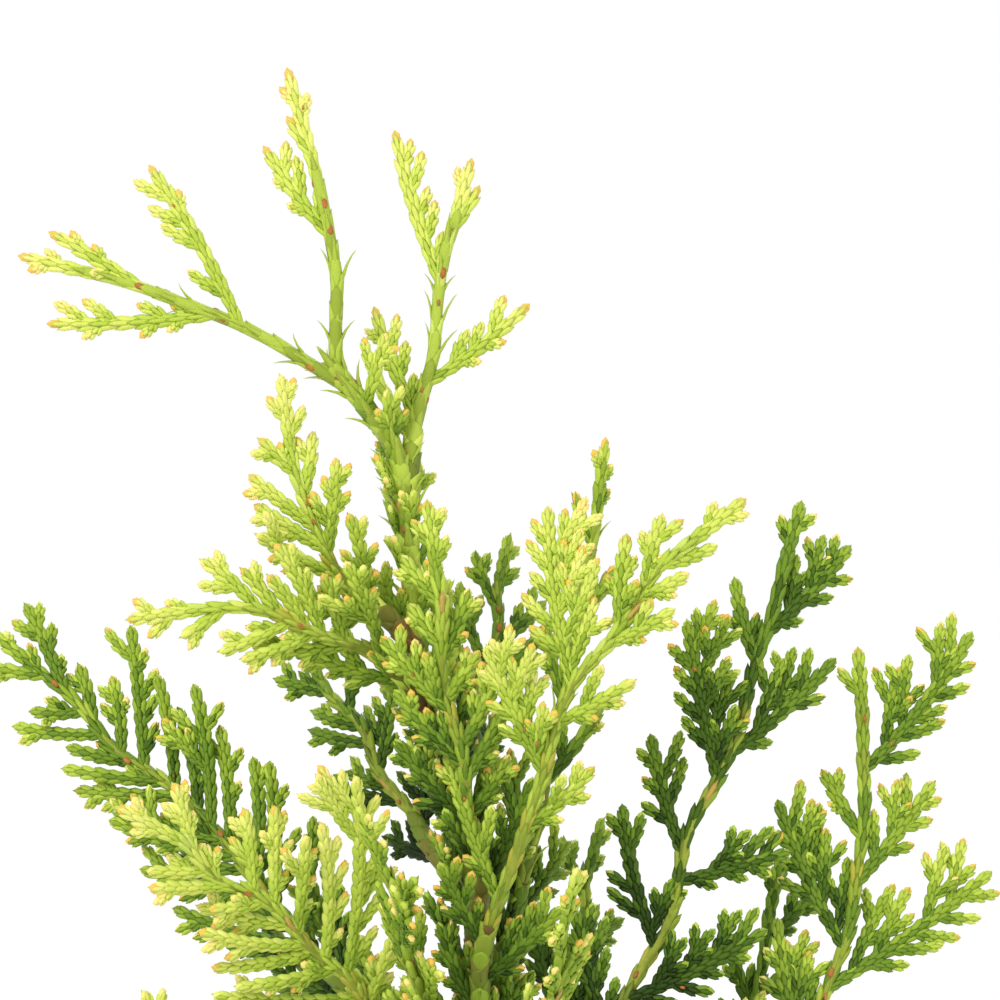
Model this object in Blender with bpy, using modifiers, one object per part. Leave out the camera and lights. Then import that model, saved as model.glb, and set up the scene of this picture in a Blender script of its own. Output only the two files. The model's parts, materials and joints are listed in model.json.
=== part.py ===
"""Young green giant arborvitae in a plain nursery pot.

The whole plant from the soil to its leading shoot: pot, soil, trunk, boughs, and one flat mass of
foliage at the end of each bough. The script works in metres with +Z up. The origin is the centre
of the pot's flat underside, +X is to the right and +Y to the back as the camera sees the plant.
"""

import math
import random
from typing import NamedTuple

import bmesh
import bpy
import numpy as np
from mathutils import Matrix, Vector

MM = 0.001
UP = Vector((0.0, 0.0, 1.0))

# Clearances
GAP = 0.3 * MM
SPACE = 2.0 * MM
WELD = 0.002 * MM

# Pot
POT_HEIGHT = 80 * MM
POT_TOP_RADIUS = 43 * MM
POT_FOOT_RADIUS = 32 * MM
POT_WALL = 1.6 * MM
POT_FLOOR = 2.0 * MM
RIM_HEIGHT = 9 * MM
RIM_STEP = 2.4 * MM
RIM_EDGE = 0.8 * MM
POT_STEPS = 30
DRAIN_HOLES = 5
DRAIN_RADIUS = 3.5 * MM
DRAIN_RING = 23 * MM
DRAIN_SIDES = 10

# Soil
SOIL_BELOW_RIM = 7 * MM
SOIL_LEVEL = POT_HEIGHT - SOIL_BELOW_RIM
SOIL_FLAT_RADIUS = 9 * MM
SOIL_SHOULDER = 0.6
SOIL_SINK = 1.5 * MM

# Trunk: bends of its middle line as height above the soil, x and y, then its radii
TRUNK_BENDS = (
    (0.0, 0.0, 0.0),
    (42.0, -0.4, 0.6),
    (76.0, 0.7, 0.4),
    (98.0, 2.2, -0.4),
    (114.0, 3.1, -0.6),
    (127.0, 1.7, -0.2),
    (143.0, -2.8, 0.2),
    (151.0, -3.9, 0.3),
    (164.0, -5.0, 0.2),
    (170.0, -6.6, 0.0),
    (178.0, -12.6, -0.2),
)
TRUNK_FOOT_RADIUS = 2.1 * MM
TRUNK_TOP_RADIUS = 0.95 * MM
FLARE_RADIUS = 1.1 * MM
FLARE_HEIGHT = 4.0 * MM
TRUNK_SIDES = 8

# Boughs
BOUGH_FOOT_RADIUS = 1.15 * MM
STEM_FOOT_RADIUS = 0.9 * MM
STEM_TIP_RADIUS = 0.5 * MM
BOUGH_SIDES = 4
BOUGH_POINTS = 5
PATH_STEPS = 25
HALVINGS = 20
STEM_SIDES = 3
STEM_SHORT = 3.2 * MM
STEM_POINTS = 5

# Where side sprays stand on their stem, and how they stray by the seeded rule
FIRST_SPRAY = 4 * MM
SPRAY_CLEAR = 2.2 * MM
SPRAY_SHIFT = 0.6 * MM
SPRAY_STRAY = 6
SPRAY_TILT = 14
SPRAY_TAPER = 0.52
SPRAY_TAPER_POWER = 1.4
SPRAY_LENGTHS = (0.82, 1.08)
SPRAY_SHORTEST = 5 * MM
SPRAY_TIP = 8 * MM

# Each side spray is a toothed blade; its teeth are in shares of its length
BLADE_THICKNESS = 0.85 * MM
BLADE_RIB = 0.5 * MM
ROOT_DEPTH = 0.27 * MM
BLADE_LONG = 13 * MM
TOOTH_ANGLE = 40
TOOTH_SIZE = 0.34
TOOTH_TAPER = 0.5
TOOTH_SHIFT = 0.35
FIRST_TOOTH = 0.12
TOOTHED_SHARE = 0.58


class Bough(NamedTuple):
    """One limb and its foliage; lengths in millimetres, angles in degrees."""
    name: str
    height: float       # above the soil, where it leaves the trunk
    azimuth: float      # 0 is to the right, 90 to the back
    reach: float        # from the trunk out to its furthest tip
    gain: float         # from where it leaves the trunk up to that tip
    swing: float        # how far its knee stands off the azimuth
    knee_reach: float
    knee_rise: float
    bare: float         # share of its length before the foliage
    face: float         # azimuth that the flat of its foliage looks to
    longest: float      # its longest side spray
    count: int          # side sprays
    spread: float       # angle between them and their stem


SEEN_BOUGHS = (
    Bough("left_shoot", 175.5, 183, 37, 15, -3, 12, 9.5, 0.0, 270, 18, 4, 34),
    Bough("second_shoot", 163, 30, 8, 37, 24, 4, 19, 0.20, 262, 15, 5, 30),
    Bough("left_upper", 147, 219, 19, 30, -8, 15, 10, 0.26, 285, 11, 5, 34),
    Bough("left_level", 139, 209, 37, 12, 14, 15, 17, 0.26, 262, 12, 5, 42),
    Bough("far_left", 92, 162, 56, 56, -10, 26, 32, 0.30, 262, 16, 7, 42),
    Bough("left_front", 89, 225, 48, 42, 13, 26, 31, 0.28, 285, 15, 6, 42),
    Bough("left_dark", 84, 145, 42, 42, -13, 22, 28, 0.26, 255, 15, 5, 42),
    Bough("left_low", 62, 218, 40, 48, 0, 29, 26, 0.26, 300, 15, 5, 42),
    Bough("back_left", 120, 128, 33, 28, -5, 21, 15, 0.26, 250, 14, 5, 42),
    Bough("back_right", 128, 80, 28, 30, 6, 18, 15, 0.26, 285, 14, 5, 42),
    Bough("centre_front", 90, 327, 33, 72, -43, 15, 56, 0.26, 268, 18, 7, 42),
    Bough("centre_left", 112, 248, 14, 51, 18, 11, 24, 0.24, 268, 13, 5, 38),
    Bough("centre_behind", 104, 39, 19, 66, 6, 14, 28, 0.28, 290, 11, 5, 30),
    Bough("front_left", 84, 252, 32, 46, 12, 24, 25, 0.26, 215, 13, 5, 34),
    Bough("front_right", 78, 290, 36, 46, -2, 25, 24, 0.26, 320, 13, 5, 36),
    Bough("right_inner", 77, 357, 38, 87, -7, 24, 32, 0.34, 268, 19, 8, 42),
    Bough("right_back", 74, 66, 40, 50, 0, 28, 28, 0.26, 300, 15, 5, 42),
    Bough("right_outer", 59, 3, 45, 88, 0, 51, 31, 0.38, 272, 20, 8, 42),
    Bough("right_low", 46, 29, 43, 76, -2, 34, 38, 0.34, 285, 16, 6, 42),
)

# The leading shoot goes on from the trunk's top
LEADER = Bough("leader", 178, 182, 5, 32, -150, 0.6, 16, 0.0, 268, 8, 3, 27)

# Low boughs stand round the trunk a golden angle apart
LOW_COUNT = 9
LOW_HEIGHTS = (13, 57)
LOW_REACH = (60, 54)
LOW_GAIN = (38, 40)
LOW_SWING = 8
LOW_KNEE_REACH = 0.62
LOW_KNEE_RISE = 0.22
LOW_FIRST_AZIMUTH = 20
GOLDEN_ANGLE = 137.508
LOW_FACE = 62
LOW_LONGEST = 20
LOW_BARE = 0.22
LOW_SPRAYS = 6
LOW_SPREAD = 43

PLASTIC = ((0.018, 0.019, 0.018, 1.0), 0.45)
EARTH = ((0.045, 0.028, 0.018, 1.0), 0.95)
BARK = ((0.20, 0.085, 0.045, 1.0), 0.8)
TWIG = ((0.28, 0.22, 0.06, 1.0), 0.7)
LEAF = ((0.16, 0.33, 0.045, 1.0), 0.55)


def material(name, finish):
    """A plain Principled material from a colour and a roughness."""
    colour, roughness = finish
    made = bpy.data.materials.new(name)
    made.use_nodes = True
    shader = made.node_tree.nodes["Principled BSDF"]
    shader.inputs["Base Color"].default_value = colour
    shader.inputs["Roughness"].default_value = roughness
    shader.inputs["Metallic"].default_value = 0.0
    made.diffuse_color = colour
    return made


def clear_scene():
    """Start from an empty scene with one collection for the plant and one for cutters."""
    for old in list(bpy.data.objects):
        bpy.data.objects.remove(old, do_unlink=True)
    plant = bpy.data.collections.new("potted_green_giant_arborvitae")
    cutters = bpy.data.collections.new("cutters")
    bpy.context.scene.collection.children.link(plant)
    bpy.context.scene.collection.children.link(cutters)
    cutters.hide_render = True
    return plant, cutters


def turned(name, profile, collection):
    """Turn a profile of (radius, height) points about the Z axis."""
    mesh = bpy.data.meshes.new(name)
    points = [(radius, 0.0, height) for radius, height in profile]
    edges = [(i, i + 1) for i in range(len(points) - 1)]
    mesh.from_pydata(points, edges, [])
    solid = bpy.data.objects.new(name, mesh)
    collection.objects.link(solid)
    screw = solid.modifiers.new("turn", "SCREW")
    screw.steps = POT_STEPS
    screw.render_steps = POT_STEPS
    screw.use_merge_vertices = True
    screw.merge_threshold = 0.01 * MM
    screw.use_smooth_shade = True
    return solid


def pot_wall_radius(height):
    """Outer radius of the pot's tapered wall at a height."""
    return POT_FOOT_RADIUS + (POT_TOP_RADIUS - POT_FOOT_RADIUS) * height / POT_HEIGHT


def make_pot(plant, cutters):
    """Tapered pot with a thick rim band, a flat underside and drain holes off its centre."""
    rim_foot = POT_HEIGHT - RIM_HEIGHT
    edge = RIM_EDGE
    rim = POT_TOP_RADIUS + RIM_STEP
    profile = [
        (0.0, POT_FLOOR),
        (POT_FOOT_RADIUS - POT_WALL, POT_FLOOR),
        (POT_TOP_RADIUS - POT_WALL, POT_HEIGHT - edge),
        (POT_TOP_RADIUS - POT_WALL + edge, POT_HEIGHT),
        (rim - edge, POT_HEIGHT),
        (rim, POT_HEIGHT - edge),
        (rim - edge / 2, rim_foot),
        (pot_wall_radius(rim_foot - edge), rim_foot - edge),
        (pot_wall_radius(edge), edge),
        (POT_FOOT_RADIUS - edge, 0.0),
        (0.0, 0.0),
    ]
    pot = turned("pot", profile, plant)
    pot.data.materials.append(material("pot plastic", PLASTIC))
    for index in range(DRAIN_HOLES):
        angle = 2 * math.pi * (index + 0.5) / DRAIN_HOLES
        bpy.ops.mesh.primitive_cylinder_add(
            vertices=DRAIN_SIDES, radius=DRAIN_RADIUS, depth=6 * POT_FLOOR,
            location=(DRAIN_RING * math.cos(angle), DRAIN_RING * math.sin(angle), 0.0))
        drill = bpy.context.object
        drill.name = f"drain_drill_{index + 1}"
        drill.display_type = "WIRE"
        for home in list(drill.users_collection):
            home.objects.unlink(drill)
        cutters.objects.link(drill)
    holes = pot.modifiers.new("drain holes", "BOOLEAN")
    holes.operation = "DIFFERENCE"
    holes.operand_type = "COLLECTION"
    holes.collection = cutters
    holes.solver = "EXACT"
    return pot


def make_soil(plant):
    """Plug of potting mix that fills the pot, with a flat middle that the trunk stands on."""
    wall = POT_WALL + GAP
    foot = POT_FLOOR + GAP
    top = SOIL_LEVEL - SOIL_SINK
    profile = [
        (0.0, SOIL_LEVEL),
        (SOIL_FLAT_RADIUS, SOIL_LEVEL),
        (pot_wall_radius(top) * SOIL_SHOULDER, SOIL_LEVEL - SOIL_SINK / 3),
        (pot_wall_radius(top) - wall, top),
        (pot_wall_radius(foot) - wall, foot),
        (0.0, foot),
    ]
    soil = turned("soil", profile, plant)
    soil.data.materials.append(material("potting mix", EARTH))
    return soil


def plain_meshes(sources, loose_caps):
    """Plain meshes of objects as evaluated; a curve's loose caps are welded on."""
    graph = bpy.context.evaluated_depsgraph_get()
    made = []
    for source in sources:
        mesh = bpy.data.meshes.new_from_object(source.evaluated_get(graph))
        mesh.transform(source.matrix_world)
        if loose_caps:
            shape = bmesh.new()
            shape.from_mesh(mesh)
            bmesh.ops.remove_doubles(shape, verts=shape.verts, dist=WELD)
            bmesh.ops.recalc_face_normals(shape, faces=shape.faces)
            shape.to_mesh(mesh)
            shape.free()
        made.append(mesh)
    return made


def flat_curve(name, outline):
    """Closed flat curve through the outline's points."""
    curve = bpy.data.curves.new(name, "CURVE")
    curve.dimensions = "2D"
    spline = curve.splines.new("POLY")
    spline.points.add(len(outline) - 1)
    for point, (x, y) in zip(spline.points, outline):
        point.co = (x, y, 0.0, 1.0)
    spline.use_cyclic_u = True
    drawn = bpy.data.objects.new(name, curve)
    bpy.context.scene.collection.objects.link(drawn)
    return drawn


def drop(*objects):
    """Remove helper objects with their data."""
    for used in objects:
        data = used.data
        bpy.data.objects.remove(used, do_unlink=True)
        if isinstance(data, bpy.types.Mesh):
            bpy.data.meshes.remove(data)
        else:
            bpy.data.curves.remove(data)


def limb(name, points, radii, sides, finish, collection):
    """One tapering limb: a tube of few sides along its middle line, closed at both ends."""
    turns = spaced(0.0, 2 * math.pi, sides + 1)[:-1]
    ring = flat_curve("ring", [(math.cos(turn), math.sin(turn)) for turn in turns])
    curve = bpy.data.curves.new(name, "CURVE")
    curve.dimensions = "3D"
    curve.bevel_mode = "OBJECT"
    curve.bevel_object = ring
    curve.use_fill_caps = True
    spline = curve.splines.new("POLY")
    spline.points.add(len(points) - 1)
    for knot, point, radius in zip(spline.points, points, radii):
        knot.co = (*point, 1.0)
        knot.radius = radius
    tube = bpy.data.objects.new(name + "_line", curve)
    bpy.context.scene.collection.objects.link(tube)
    mesh, = plain_meshes([tube], loose_caps=True)
    drop(tube, ring)
    mesh.materials.clear()
    mesh.materials.append(finish)
    solid = bpy.data.objects.new(name, mesh)
    collection.objects.link(solid)
    return solid


def trunk_line():
    """Smooth middle line of the trunk as points and radii, from the soil to its top."""
    bends = [Vector((x * MM, y * MM, SOIL_LEVEL + GAP + z * MM)) for z, x, y in TRUNK_BENDS]
    points = [bends[0], bends[0] + UP * FLARE_HEIGHT / 2, bends[0] + UP * FLARE_HEIGHT * 2] + bends[1:]
    height = points[-1].z - points[0].z
    radii = []
    for point in points:
        climbed = (point.z - points[0].z) / height
        radius = TRUNK_FOOT_RADIUS + (TRUNK_TOP_RADIUS - TRUNK_FOOT_RADIUS) * climbed
        flare = FLARE_RADIUS * math.exp(-(point.z - points[0].z) / FLARE_HEIGHT)
        radii.append(radius + flare)
    return points, radii


def trunk_at(height, line):
    """Point on the trunk's middle line at a height above the soil."""
    points, _ = line
    level = SOIL_LEVEL + GAP + height
    for low, high in zip(points, points[1:]):
        if low.z <= level <= high.z:
            return low.lerp(high, (level - low.z) / (high.z - low.z))
    return points[-1].copy()


def off_trunk(point, line):
    """Distance from a point to the trunk's surface."""
    points, radii = line
    nearest = math.inf
    for low, high, wide, thin in zip(points, points[1:], radii, radii[1:]):
        run = high - low
        share = max(0.0, min(1.0, (point - low).dot(run) / run.length_squared))
        nearest = min(nearest, (point - low - run * share).length - wide - (thin - wide) * share)
    return nearest


def spaced(first, last, count):
    """Evenly spaced values from first to last."""
    return [first + (last - first) * index / (count - 1) for index in range(count)]


def heading(azimuth):
    """Level direction at an azimuth in degrees."""
    return Vector((math.cos(math.radians(azimuth)), math.sin(math.radians(azimuth)), 0.0))


class Path:
    """Middle line of a bough: out from the trunk, round its knee and up to its tip."""

    def __init__(self, bough, line):
        self.bough = bough
        self.foot = trunk_at(bough.height * MM, line)
        knee = heading(bough.azimuth + bough.swing) * bough.knee_reach + UP * bough.knee_rise
        tip = heading(bough.azimuth) * bough.reach + UP * bough.gain
        self.knee = self.foot + knee * MM
        self.tip = self.foot + tip * MM
        run = [self.at(share) for share in spaced(0.0, 1.0, PATH_STEPS)]
        self.length = sum((high - low).length for low, high in zip(run, run[1:]))

    def at(self, share):
        rest = 1.0 - share
        return self.foot * rest * rest + self.knee * 2 * rest * share + self.tip * share * share

    def along(self, share):
        run = (self.knee - self.foot) * (1.0 - share) + (self.tip - self.knee) * share
        return run.normalized()

    def frame(self, share):
        """Direction along the path, to its side in the flat of the foliage, and off that flat."""
        ahead = self.along(share)
        aside = ahead.cross(heading(self.bough.face)).normalized()
        return ahead, aside, aside.cross(ahead)

    def start(self, radius, line):
        """Share of the path where a limb of this radius clears the trunk."""
        near, far = 0.0, 0.5
        turns = spaced(0.0, 2 * math.pi, 13)
        for _ in range(HALVINGS):
            middle = (near + far) / 2
            _, aside, off = self.frame(middle)
            ring = [self.at(middle) + (aside * math.cos(turn) + off * math.sin(turn)) * radius
                    for turn in turns]
            if min(off_trunk(point, line) for point in ring) < GAP:
                near = middle
            else:
                far = middle
        return far


class Blade:
    """One side spray of a mass: a flat toothed blade that runs from its root in the stem."""

    def __init__(self, root, run, off, length):
        self.root = root
        self.length = length
        self.ahead = run.normalized()
        self.off = (off - self.ahead * off.dot(self.ahead)).normalized()

    def place(self):
        """Matrix that lays a blade drawn along X, flat in X and Y, in its place."""
        turn = Matrix((self.ahead, self.off.cross(self.ahead), self.off)).transposed().to_4x4()
        return Matrix.Translation(self.root) @ turn

    def teeth(self):
        """Number of teeth on each side."""
        return 3 if self.length > BLADE_LONG else 2

    def outline(self):
        """Pointed blade with slanting teeth on both sides, as points round its edge."""
        count = self.teeth()
        lean = math.radians(TOOTH_ANGLE)
        right, left = [(-ROOT_DEPTH, -BLADE_RIB)], [(-ROOT_DEPTH, BLADE_RIB)]
        for index in range(count):
            for edge, sign, shift in ((left, 1, 0.0), (right, -1, TOOTH_SHIFT)):
                climbed = (index + shift) / count
                start = self.length * (FIRST_TOOTH + TOOTHED_SHARE * climbed)
                size = self.length * TOOTH_SIZE * (1.0 - TOOTH_TAPER * climbed)
                edge.append((start, sign * BLADE_RIB))
                edge.append((start + size * math.cos(lean), sign * (BLADE_RIB + size * math.sin(lean))))
        return right + [(self.length, 0.0)] + left[::-1]

    def samples(self):
        """Points over the blade, for keeping it clear of its neighbours."""
        corners = [Vector((x, y, 0.0)) for x, y in self.outline()]
        spread = []
        for corner in corners:
            rib = Vector((corner.x - abs(corner.y), 0.0, 0.0))
            spread += [rib, corner, rib.lerp(corner, 0.5)]
        place = self.place()
        return [place @ point for point in spread]


def spray_blades(path, start):
    """Side sprays of one bough by its seeded rule, alternating up the stem, and one at its tip."""
    bough = path.bough
    rule = random.Random(bough.name)
    first = start + FIRST_SPRAY / path.length
    last = 1.0 - SPRAY_TIP / path.length
    blades = []
    for index in range(bough.count):
        climbed = index / (bough.count - 1)
        share = first + (last - SPRAY_CLEAR / path.length - first) * climbed
        share += rule.uniform(-1, 1) * SPRAY_SHIFT / path.length
        ahead, aside, off = path.frame(share)
        angle = math.radians(bough.spread + rule.uniform(-SPRAY_STRAY, SPRAY_STRAY))
        tilt = math.radians(rule.uniform(-SPRAY_TILT, SPRAY_TILT))
        out = (aside * math.cos(tilt) + off * math.sin(tilt)) * (1 if index % 2 else -1)
        length = bough.longest * MM * (1.0 - SPRAY_TAPER * climbed ** SPRAY_TAPER_POWER)
        length = max(length * rule.uniform(*SPRAY_LENGTHS), SPRAY_SHORTEST)
        run = ahead * math.cos(angle) + out * math.sin(angle)
        blades.append(Blade(path.at(share), run, off, length))
    blades.append(Blade(path.at(last), path.tip - path.at(last), path.frame(last)[2], SPRAY_TIP))
    return blades


class Crowd:
    """Points of everything placed so far, each with its owner, for the rule of own space."""

    def __init__(self):
        self.points = np.empty((0, 3))
        self.owners = np.empty(0, dtype=int)

    def add(self, points, owner):
        self.points = np.vstack([self.points, np.array([tuple(p) for p in points])])
        self.owners = np.append(self.owners, np.full(len(points), owner))

    def clear(self, points, owner):
        """Whether these points keep their distance from everybody else's."""
        others = self.points[self.owners != owner]
        here = np.array([tuple(p) for p in points])
        away = np.linalg.norm(others[None, :, :] - here[:, None, :], axis=2)
        return away.min() > SPACE


def line_samples(points):
    """Points along a line, less than a millimetre apart."""
    spread = []
    for low, high in zip(points, points[1:]):
        steps = max(1, math.ceil((high - low).length / MM))
        spread += [low.lerp(high, i / steps) for i in range(steps)]
    return spread + [points[-1]]


def grow_mass(name, path, start, blades, finish, collection):
    """Stem of a mass with its side sprays fused on by one union."""
    last = 1.0 - STEM_SHORT / path.length
    line = [path.at(share) for share in spaced(start, last, STEM_POINTS)]
    radii = spaced(STEM_FOOT_RADIUS, STEM_TIP_RADIUS, STEM_POINTS)
    stem = limb(name, line, radii, STEM_SIDES, finish, collection)
    joined = bpy.data.collections.new(name + "_sprays")
    bpy.context.scene.collection.children.link(joined)
    drawn = []
    for blade in blades:
        flat = flat_curve("blade", blade.outline())
        flat.data.fill_mode = "BOTH"
        flat.data.extrude = BLADE_THICKNESS / 2
        flat.matrix_world = blade.place()
        drawn.append(flat)
    for mesh in plain_meshes(drawn, loose_caps=True):
        joined.objects.link(bpy.data.objects.new("blade", mesh))
    drop(*drawn)
    union = stem.modifiers.new("sprays", "BOOLEAN")
    union.operation = "UNION"
    union.operand_type = "COLLECTION"
    union.collection = joined
    union.solver = "MANIFOLD"
    mesh, = plain_meshes([stem], loose_caps=False)
    stem.modifiers.remove(union)
    stem.data = mesh
    drop(*joined.objects)
    bpy.data.collections.remove(joined)
    return stem


def low_boughs():
    """Boughs of the lower crown, spaced by the golden angle from the soil up."""
    boughs = []
    for index in range(LOW_COUNT):
        climbed = index / (LOW_COUNT - 1)
        height, reach, gain = (low + (high - low) * climbed
                               for low, high in (LOW_HEIGHTS, LOW_REACH, LOW_GAIN))
        azimuth = (LOW_FIRST_AZIMUTH + GOLDEN_ANGLE * index) % 360
        boughs.append(Bough(f"low_{index + 1}", height, azimuth, reach, gain, LOW_SWING,
                            reach * LOW_KNEE_REACH, gain * LOW_KNEE_RISE, LOW_BARE,
                            azimuth + LOW_FACE, LOW_LONGEST, LOW_SPRAYS, LOW_SPREAD))
    return boughs


def make_plant(plant):
    """Trunk, boughs and masses of foliage, each its own solid."""
    bark = material("bark", BARK)
    twig = material("twig", TWIG)
    leaf = material("foliage", LEAF)
    line = trunk_line()
    limb("trunk", *line, TRUNK_SIDES, bark, plant)
    crowd = Crowd()
    crowd.add(line_samples(line[0]), -1)

    growing = []
    for owner, bough in enumerate((LEADER, *SEEN_BOUGHS, *low_boughs())):
        path = Path(bough, line)
        if bough.bare:
            begin = path.start(BOUGH_FOOT_RADIUS, line)
            middle = [path.at(share) for share in spaced(begin, bough.bare, BOUGH_POINTS)]
            radii = spaced(BOUGH_FOOT_RADIUS, STEM_FOOT_RADIUS, BOUGH_POINTS)
            limb("bough_" + bough.name, middle, radii, BOUGH_SIDES, twig, plant)
            stem_start = bough.bare + GAP / path.length
        elif bough is LEADER:
            begin = stem_start = GAP / path.length
        else:
            begin = stem_start = path.start(STEM_FOOT_RADIUS, line)
        crowd.add(line_samples([path.at(share) for share in spaced(begin, 1.0, PATH_STEPS)]), owner)
        growing.append((owner, path, stem_start, spray_blades(path, stem_start)))

    kept = [[] for _ in growing]
    for turn in range(max(len(blades) for *_, blades in growing)):
        for owner, path, stem_start, blades in growing:
            if turn < len(blades) and crowd.clear(blades[turn].samples(), owner):
                crowd.add(blades[turn].samples(), owner)
                kept[owner].append(blades[turn])
    for owner, path, stem_start, blades in growing:
        grow_mass("foliage_" + path.bough.name, path, stem_start, kept[owner], leaf, plant)


def main():
    plant, cutters = clear_scene()
    make_pot(plant, cutters)
    make_soil(plant)
    make_plant(plant)


main()
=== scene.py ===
"""Looks of the young green giant arborvitae in its nursery pot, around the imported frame.

Each mass of foliage is grown again by the rule of its solid and carried on to scale leaves. The
trunk, the boughs, the pot and the potting mix get modelled surfaces. Metres, +Z up.
"""

import json
import math
import random
from itertools import product

import bmesh
import bpy
import numpy as np
from mathutils import Matrix, Vector, noise

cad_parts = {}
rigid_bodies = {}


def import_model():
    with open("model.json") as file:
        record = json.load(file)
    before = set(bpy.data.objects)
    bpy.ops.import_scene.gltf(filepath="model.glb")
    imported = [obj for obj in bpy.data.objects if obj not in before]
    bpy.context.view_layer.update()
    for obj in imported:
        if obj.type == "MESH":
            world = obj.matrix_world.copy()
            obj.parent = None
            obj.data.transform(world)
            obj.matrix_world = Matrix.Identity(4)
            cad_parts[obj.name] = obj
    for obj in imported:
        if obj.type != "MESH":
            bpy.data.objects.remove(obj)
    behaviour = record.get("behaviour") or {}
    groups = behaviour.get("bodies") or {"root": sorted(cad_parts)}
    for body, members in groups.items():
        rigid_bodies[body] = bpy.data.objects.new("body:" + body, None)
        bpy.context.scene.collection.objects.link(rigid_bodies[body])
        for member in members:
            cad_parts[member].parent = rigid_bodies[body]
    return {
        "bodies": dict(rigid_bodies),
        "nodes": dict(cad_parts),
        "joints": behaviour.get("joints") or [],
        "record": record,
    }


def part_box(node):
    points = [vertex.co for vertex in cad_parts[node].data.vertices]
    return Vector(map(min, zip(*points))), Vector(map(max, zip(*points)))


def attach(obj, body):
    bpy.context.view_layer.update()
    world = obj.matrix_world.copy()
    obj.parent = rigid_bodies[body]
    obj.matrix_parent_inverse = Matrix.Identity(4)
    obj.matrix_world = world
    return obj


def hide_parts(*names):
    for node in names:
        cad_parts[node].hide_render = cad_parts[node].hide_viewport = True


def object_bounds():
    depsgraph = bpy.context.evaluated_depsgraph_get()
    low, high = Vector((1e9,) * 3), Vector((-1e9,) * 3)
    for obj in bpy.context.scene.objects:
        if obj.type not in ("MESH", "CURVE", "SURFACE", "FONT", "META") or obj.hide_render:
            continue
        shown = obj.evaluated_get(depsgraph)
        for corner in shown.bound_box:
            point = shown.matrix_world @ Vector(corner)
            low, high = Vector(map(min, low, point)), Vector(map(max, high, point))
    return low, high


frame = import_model()
CAD_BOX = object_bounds()

MM = 0.001
UP = Vector((0.0, 0.0, 1.0))

POT_LOW, POT_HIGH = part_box("pot")
SOIL_LOW, SOIL_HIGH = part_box("soil")
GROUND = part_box("trunk")[0].z

# Trunk: bends of its middle line as height above the soil, x and y, in millimetres, and radii
TRUNK_BENDS = (
    (0.0, 0.0, 0.0),
    (42.0, -0.4, 0.6),
    (76.0, 0.7, 0.4),
    (98.0, 2.2, -0.4),
    (114.0, 3.1, -0.6),
    (127.0, 1.7, -0.2),
    (143.0, -2.8, 0.2),
    (151.0, -3.9, 0.3),
    (164.0, -5.0, 0.2),
    (170.0, -6.6, 0.0),
    (178.0, -12.6, -0.2),
)
TRUNK_FOOT_RADIUS, TRUNK_TOP_RADIUS = 2.1 * MM, 0.95 * MM
FLARE_RADIUS, FLARE_HEIGHT = 1.1 * MM, 4.0 * MM
BOUGH_FOOT_RADIUS = 1.15 * MM
STEM_FOOT_RADIUS, STEM_TIP_RADIUS = 0.9 * MM, 0.5 * MM
STEM_GAP = 0.3 * MM

# Heights above the soil from which the trunk bears old leaves and then is green, in millimetres
OLD_LEAVES_FROM, GREEN_FROM = 56.0, 140.0

# Small bends of the boughs to and fro
SWAY, LEADING_SWAY, SWAY_LENGTH = 2.0 * MM, 0.7 * MM, 11 * MM

# Boughs, as in the solids: name, height, azimuth, reach, gain, swing, knee reach, knee rise, bare
# share, face, longest side spray, side sprays, spread; then the depth of the mass's green, deeper
# for the masses that lie in the crown's shade, inside it and behind: painted shade over their own
# greens
SEEN_BOUGHS = (
    ("left_shoot", 175.5, 183, 37, 15, -3, 12, 9.5, 0.0, 270, 18, 4, 34, 2.1),
    ("second_shoot", 163, 30, 8, 37, 24, 4, 19, 0.20, 262, 15, 5, 30, 1.8),
    ("left_upper", 147, 219, 19, 30, -8, 15, 10, 0.26, 285, 11, 5, 34, 2.2),
    ("left_level", 139, 209, 37, 12, 14, 15, 17, 0.26, 262, 12, 5, 42, 2.3),
    ("far_left", 92, 162, 56, 56, -10, 26, 32, 0.30, 262, 16, 7, 42, 4.3),
    ("left_front", 89, 225, 48, 42, 13, 26, 31, 0.28, 285, 15, 6, 42, 2.1),
    ("left_dark", 84, 145, 42, 42, -13, 22, 28, 0.26, 255, 15, 5, 42, 4.8),
    ("left_low", 62, 218, 40, 48, 0, 29, 26, 0.26, 300, 15, 5, 42, 3.5),
    ("back_left", 120, 128, 33, 28, -5, 21, 15, 0.26, 250, 14, 5, 42, 4.9),
    ("back_right", 128, 80, 28, 30, 6, 18, 15, 0.26, 285, 14, 5, 42, 4.7),
    ("centre_front", 90, 327, 33, 72, -43, 15, 56, 0.26, 268, 18, 7, 42, 2.8),
    ("centre_left", 112, 248, 14, 51, 18, 11, 24, 0.24, 268, 13, 5, 38, 3.6),
    ("centre_behind", 104, 39, 19, 66, 6, 14, 28, 0.28, 290, 11, 5, 30, 3.8),
    ("front_left", 84, 252, 32, 46, 12, 24, 25, 0.26, 215, 13, 5, 34, 4.0),
    ("front_right", 78, 290, 36, 46, -2, 25, 24, 0.26, 320, 13, 5, 36, 3.6),
    ("right_inner", 77, 357, 38, 87, -7, 24, 32, 0.34, 268, 19, 8, 42, 5.2),
    ("right_back", 74, 66, 40, 50, 0, 28, 28, 0.26, 300, 15, 5, 42, 5.2),
    ("right_outer", 59, 3, 45, 88, 0, 51, 31, 0.38, 272, 20, 8, 42, 4.3),
    ("right_low", 46, 29, 43, 76, -2, 34, 38, 0.34, 285, 16, 6, 42, 5.4),
)
LEADER = ("leader", 178, 182, 5, 32, -150, 0.6, 16, 0.0, 268, 8, 3, 27, 2.0)

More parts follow.
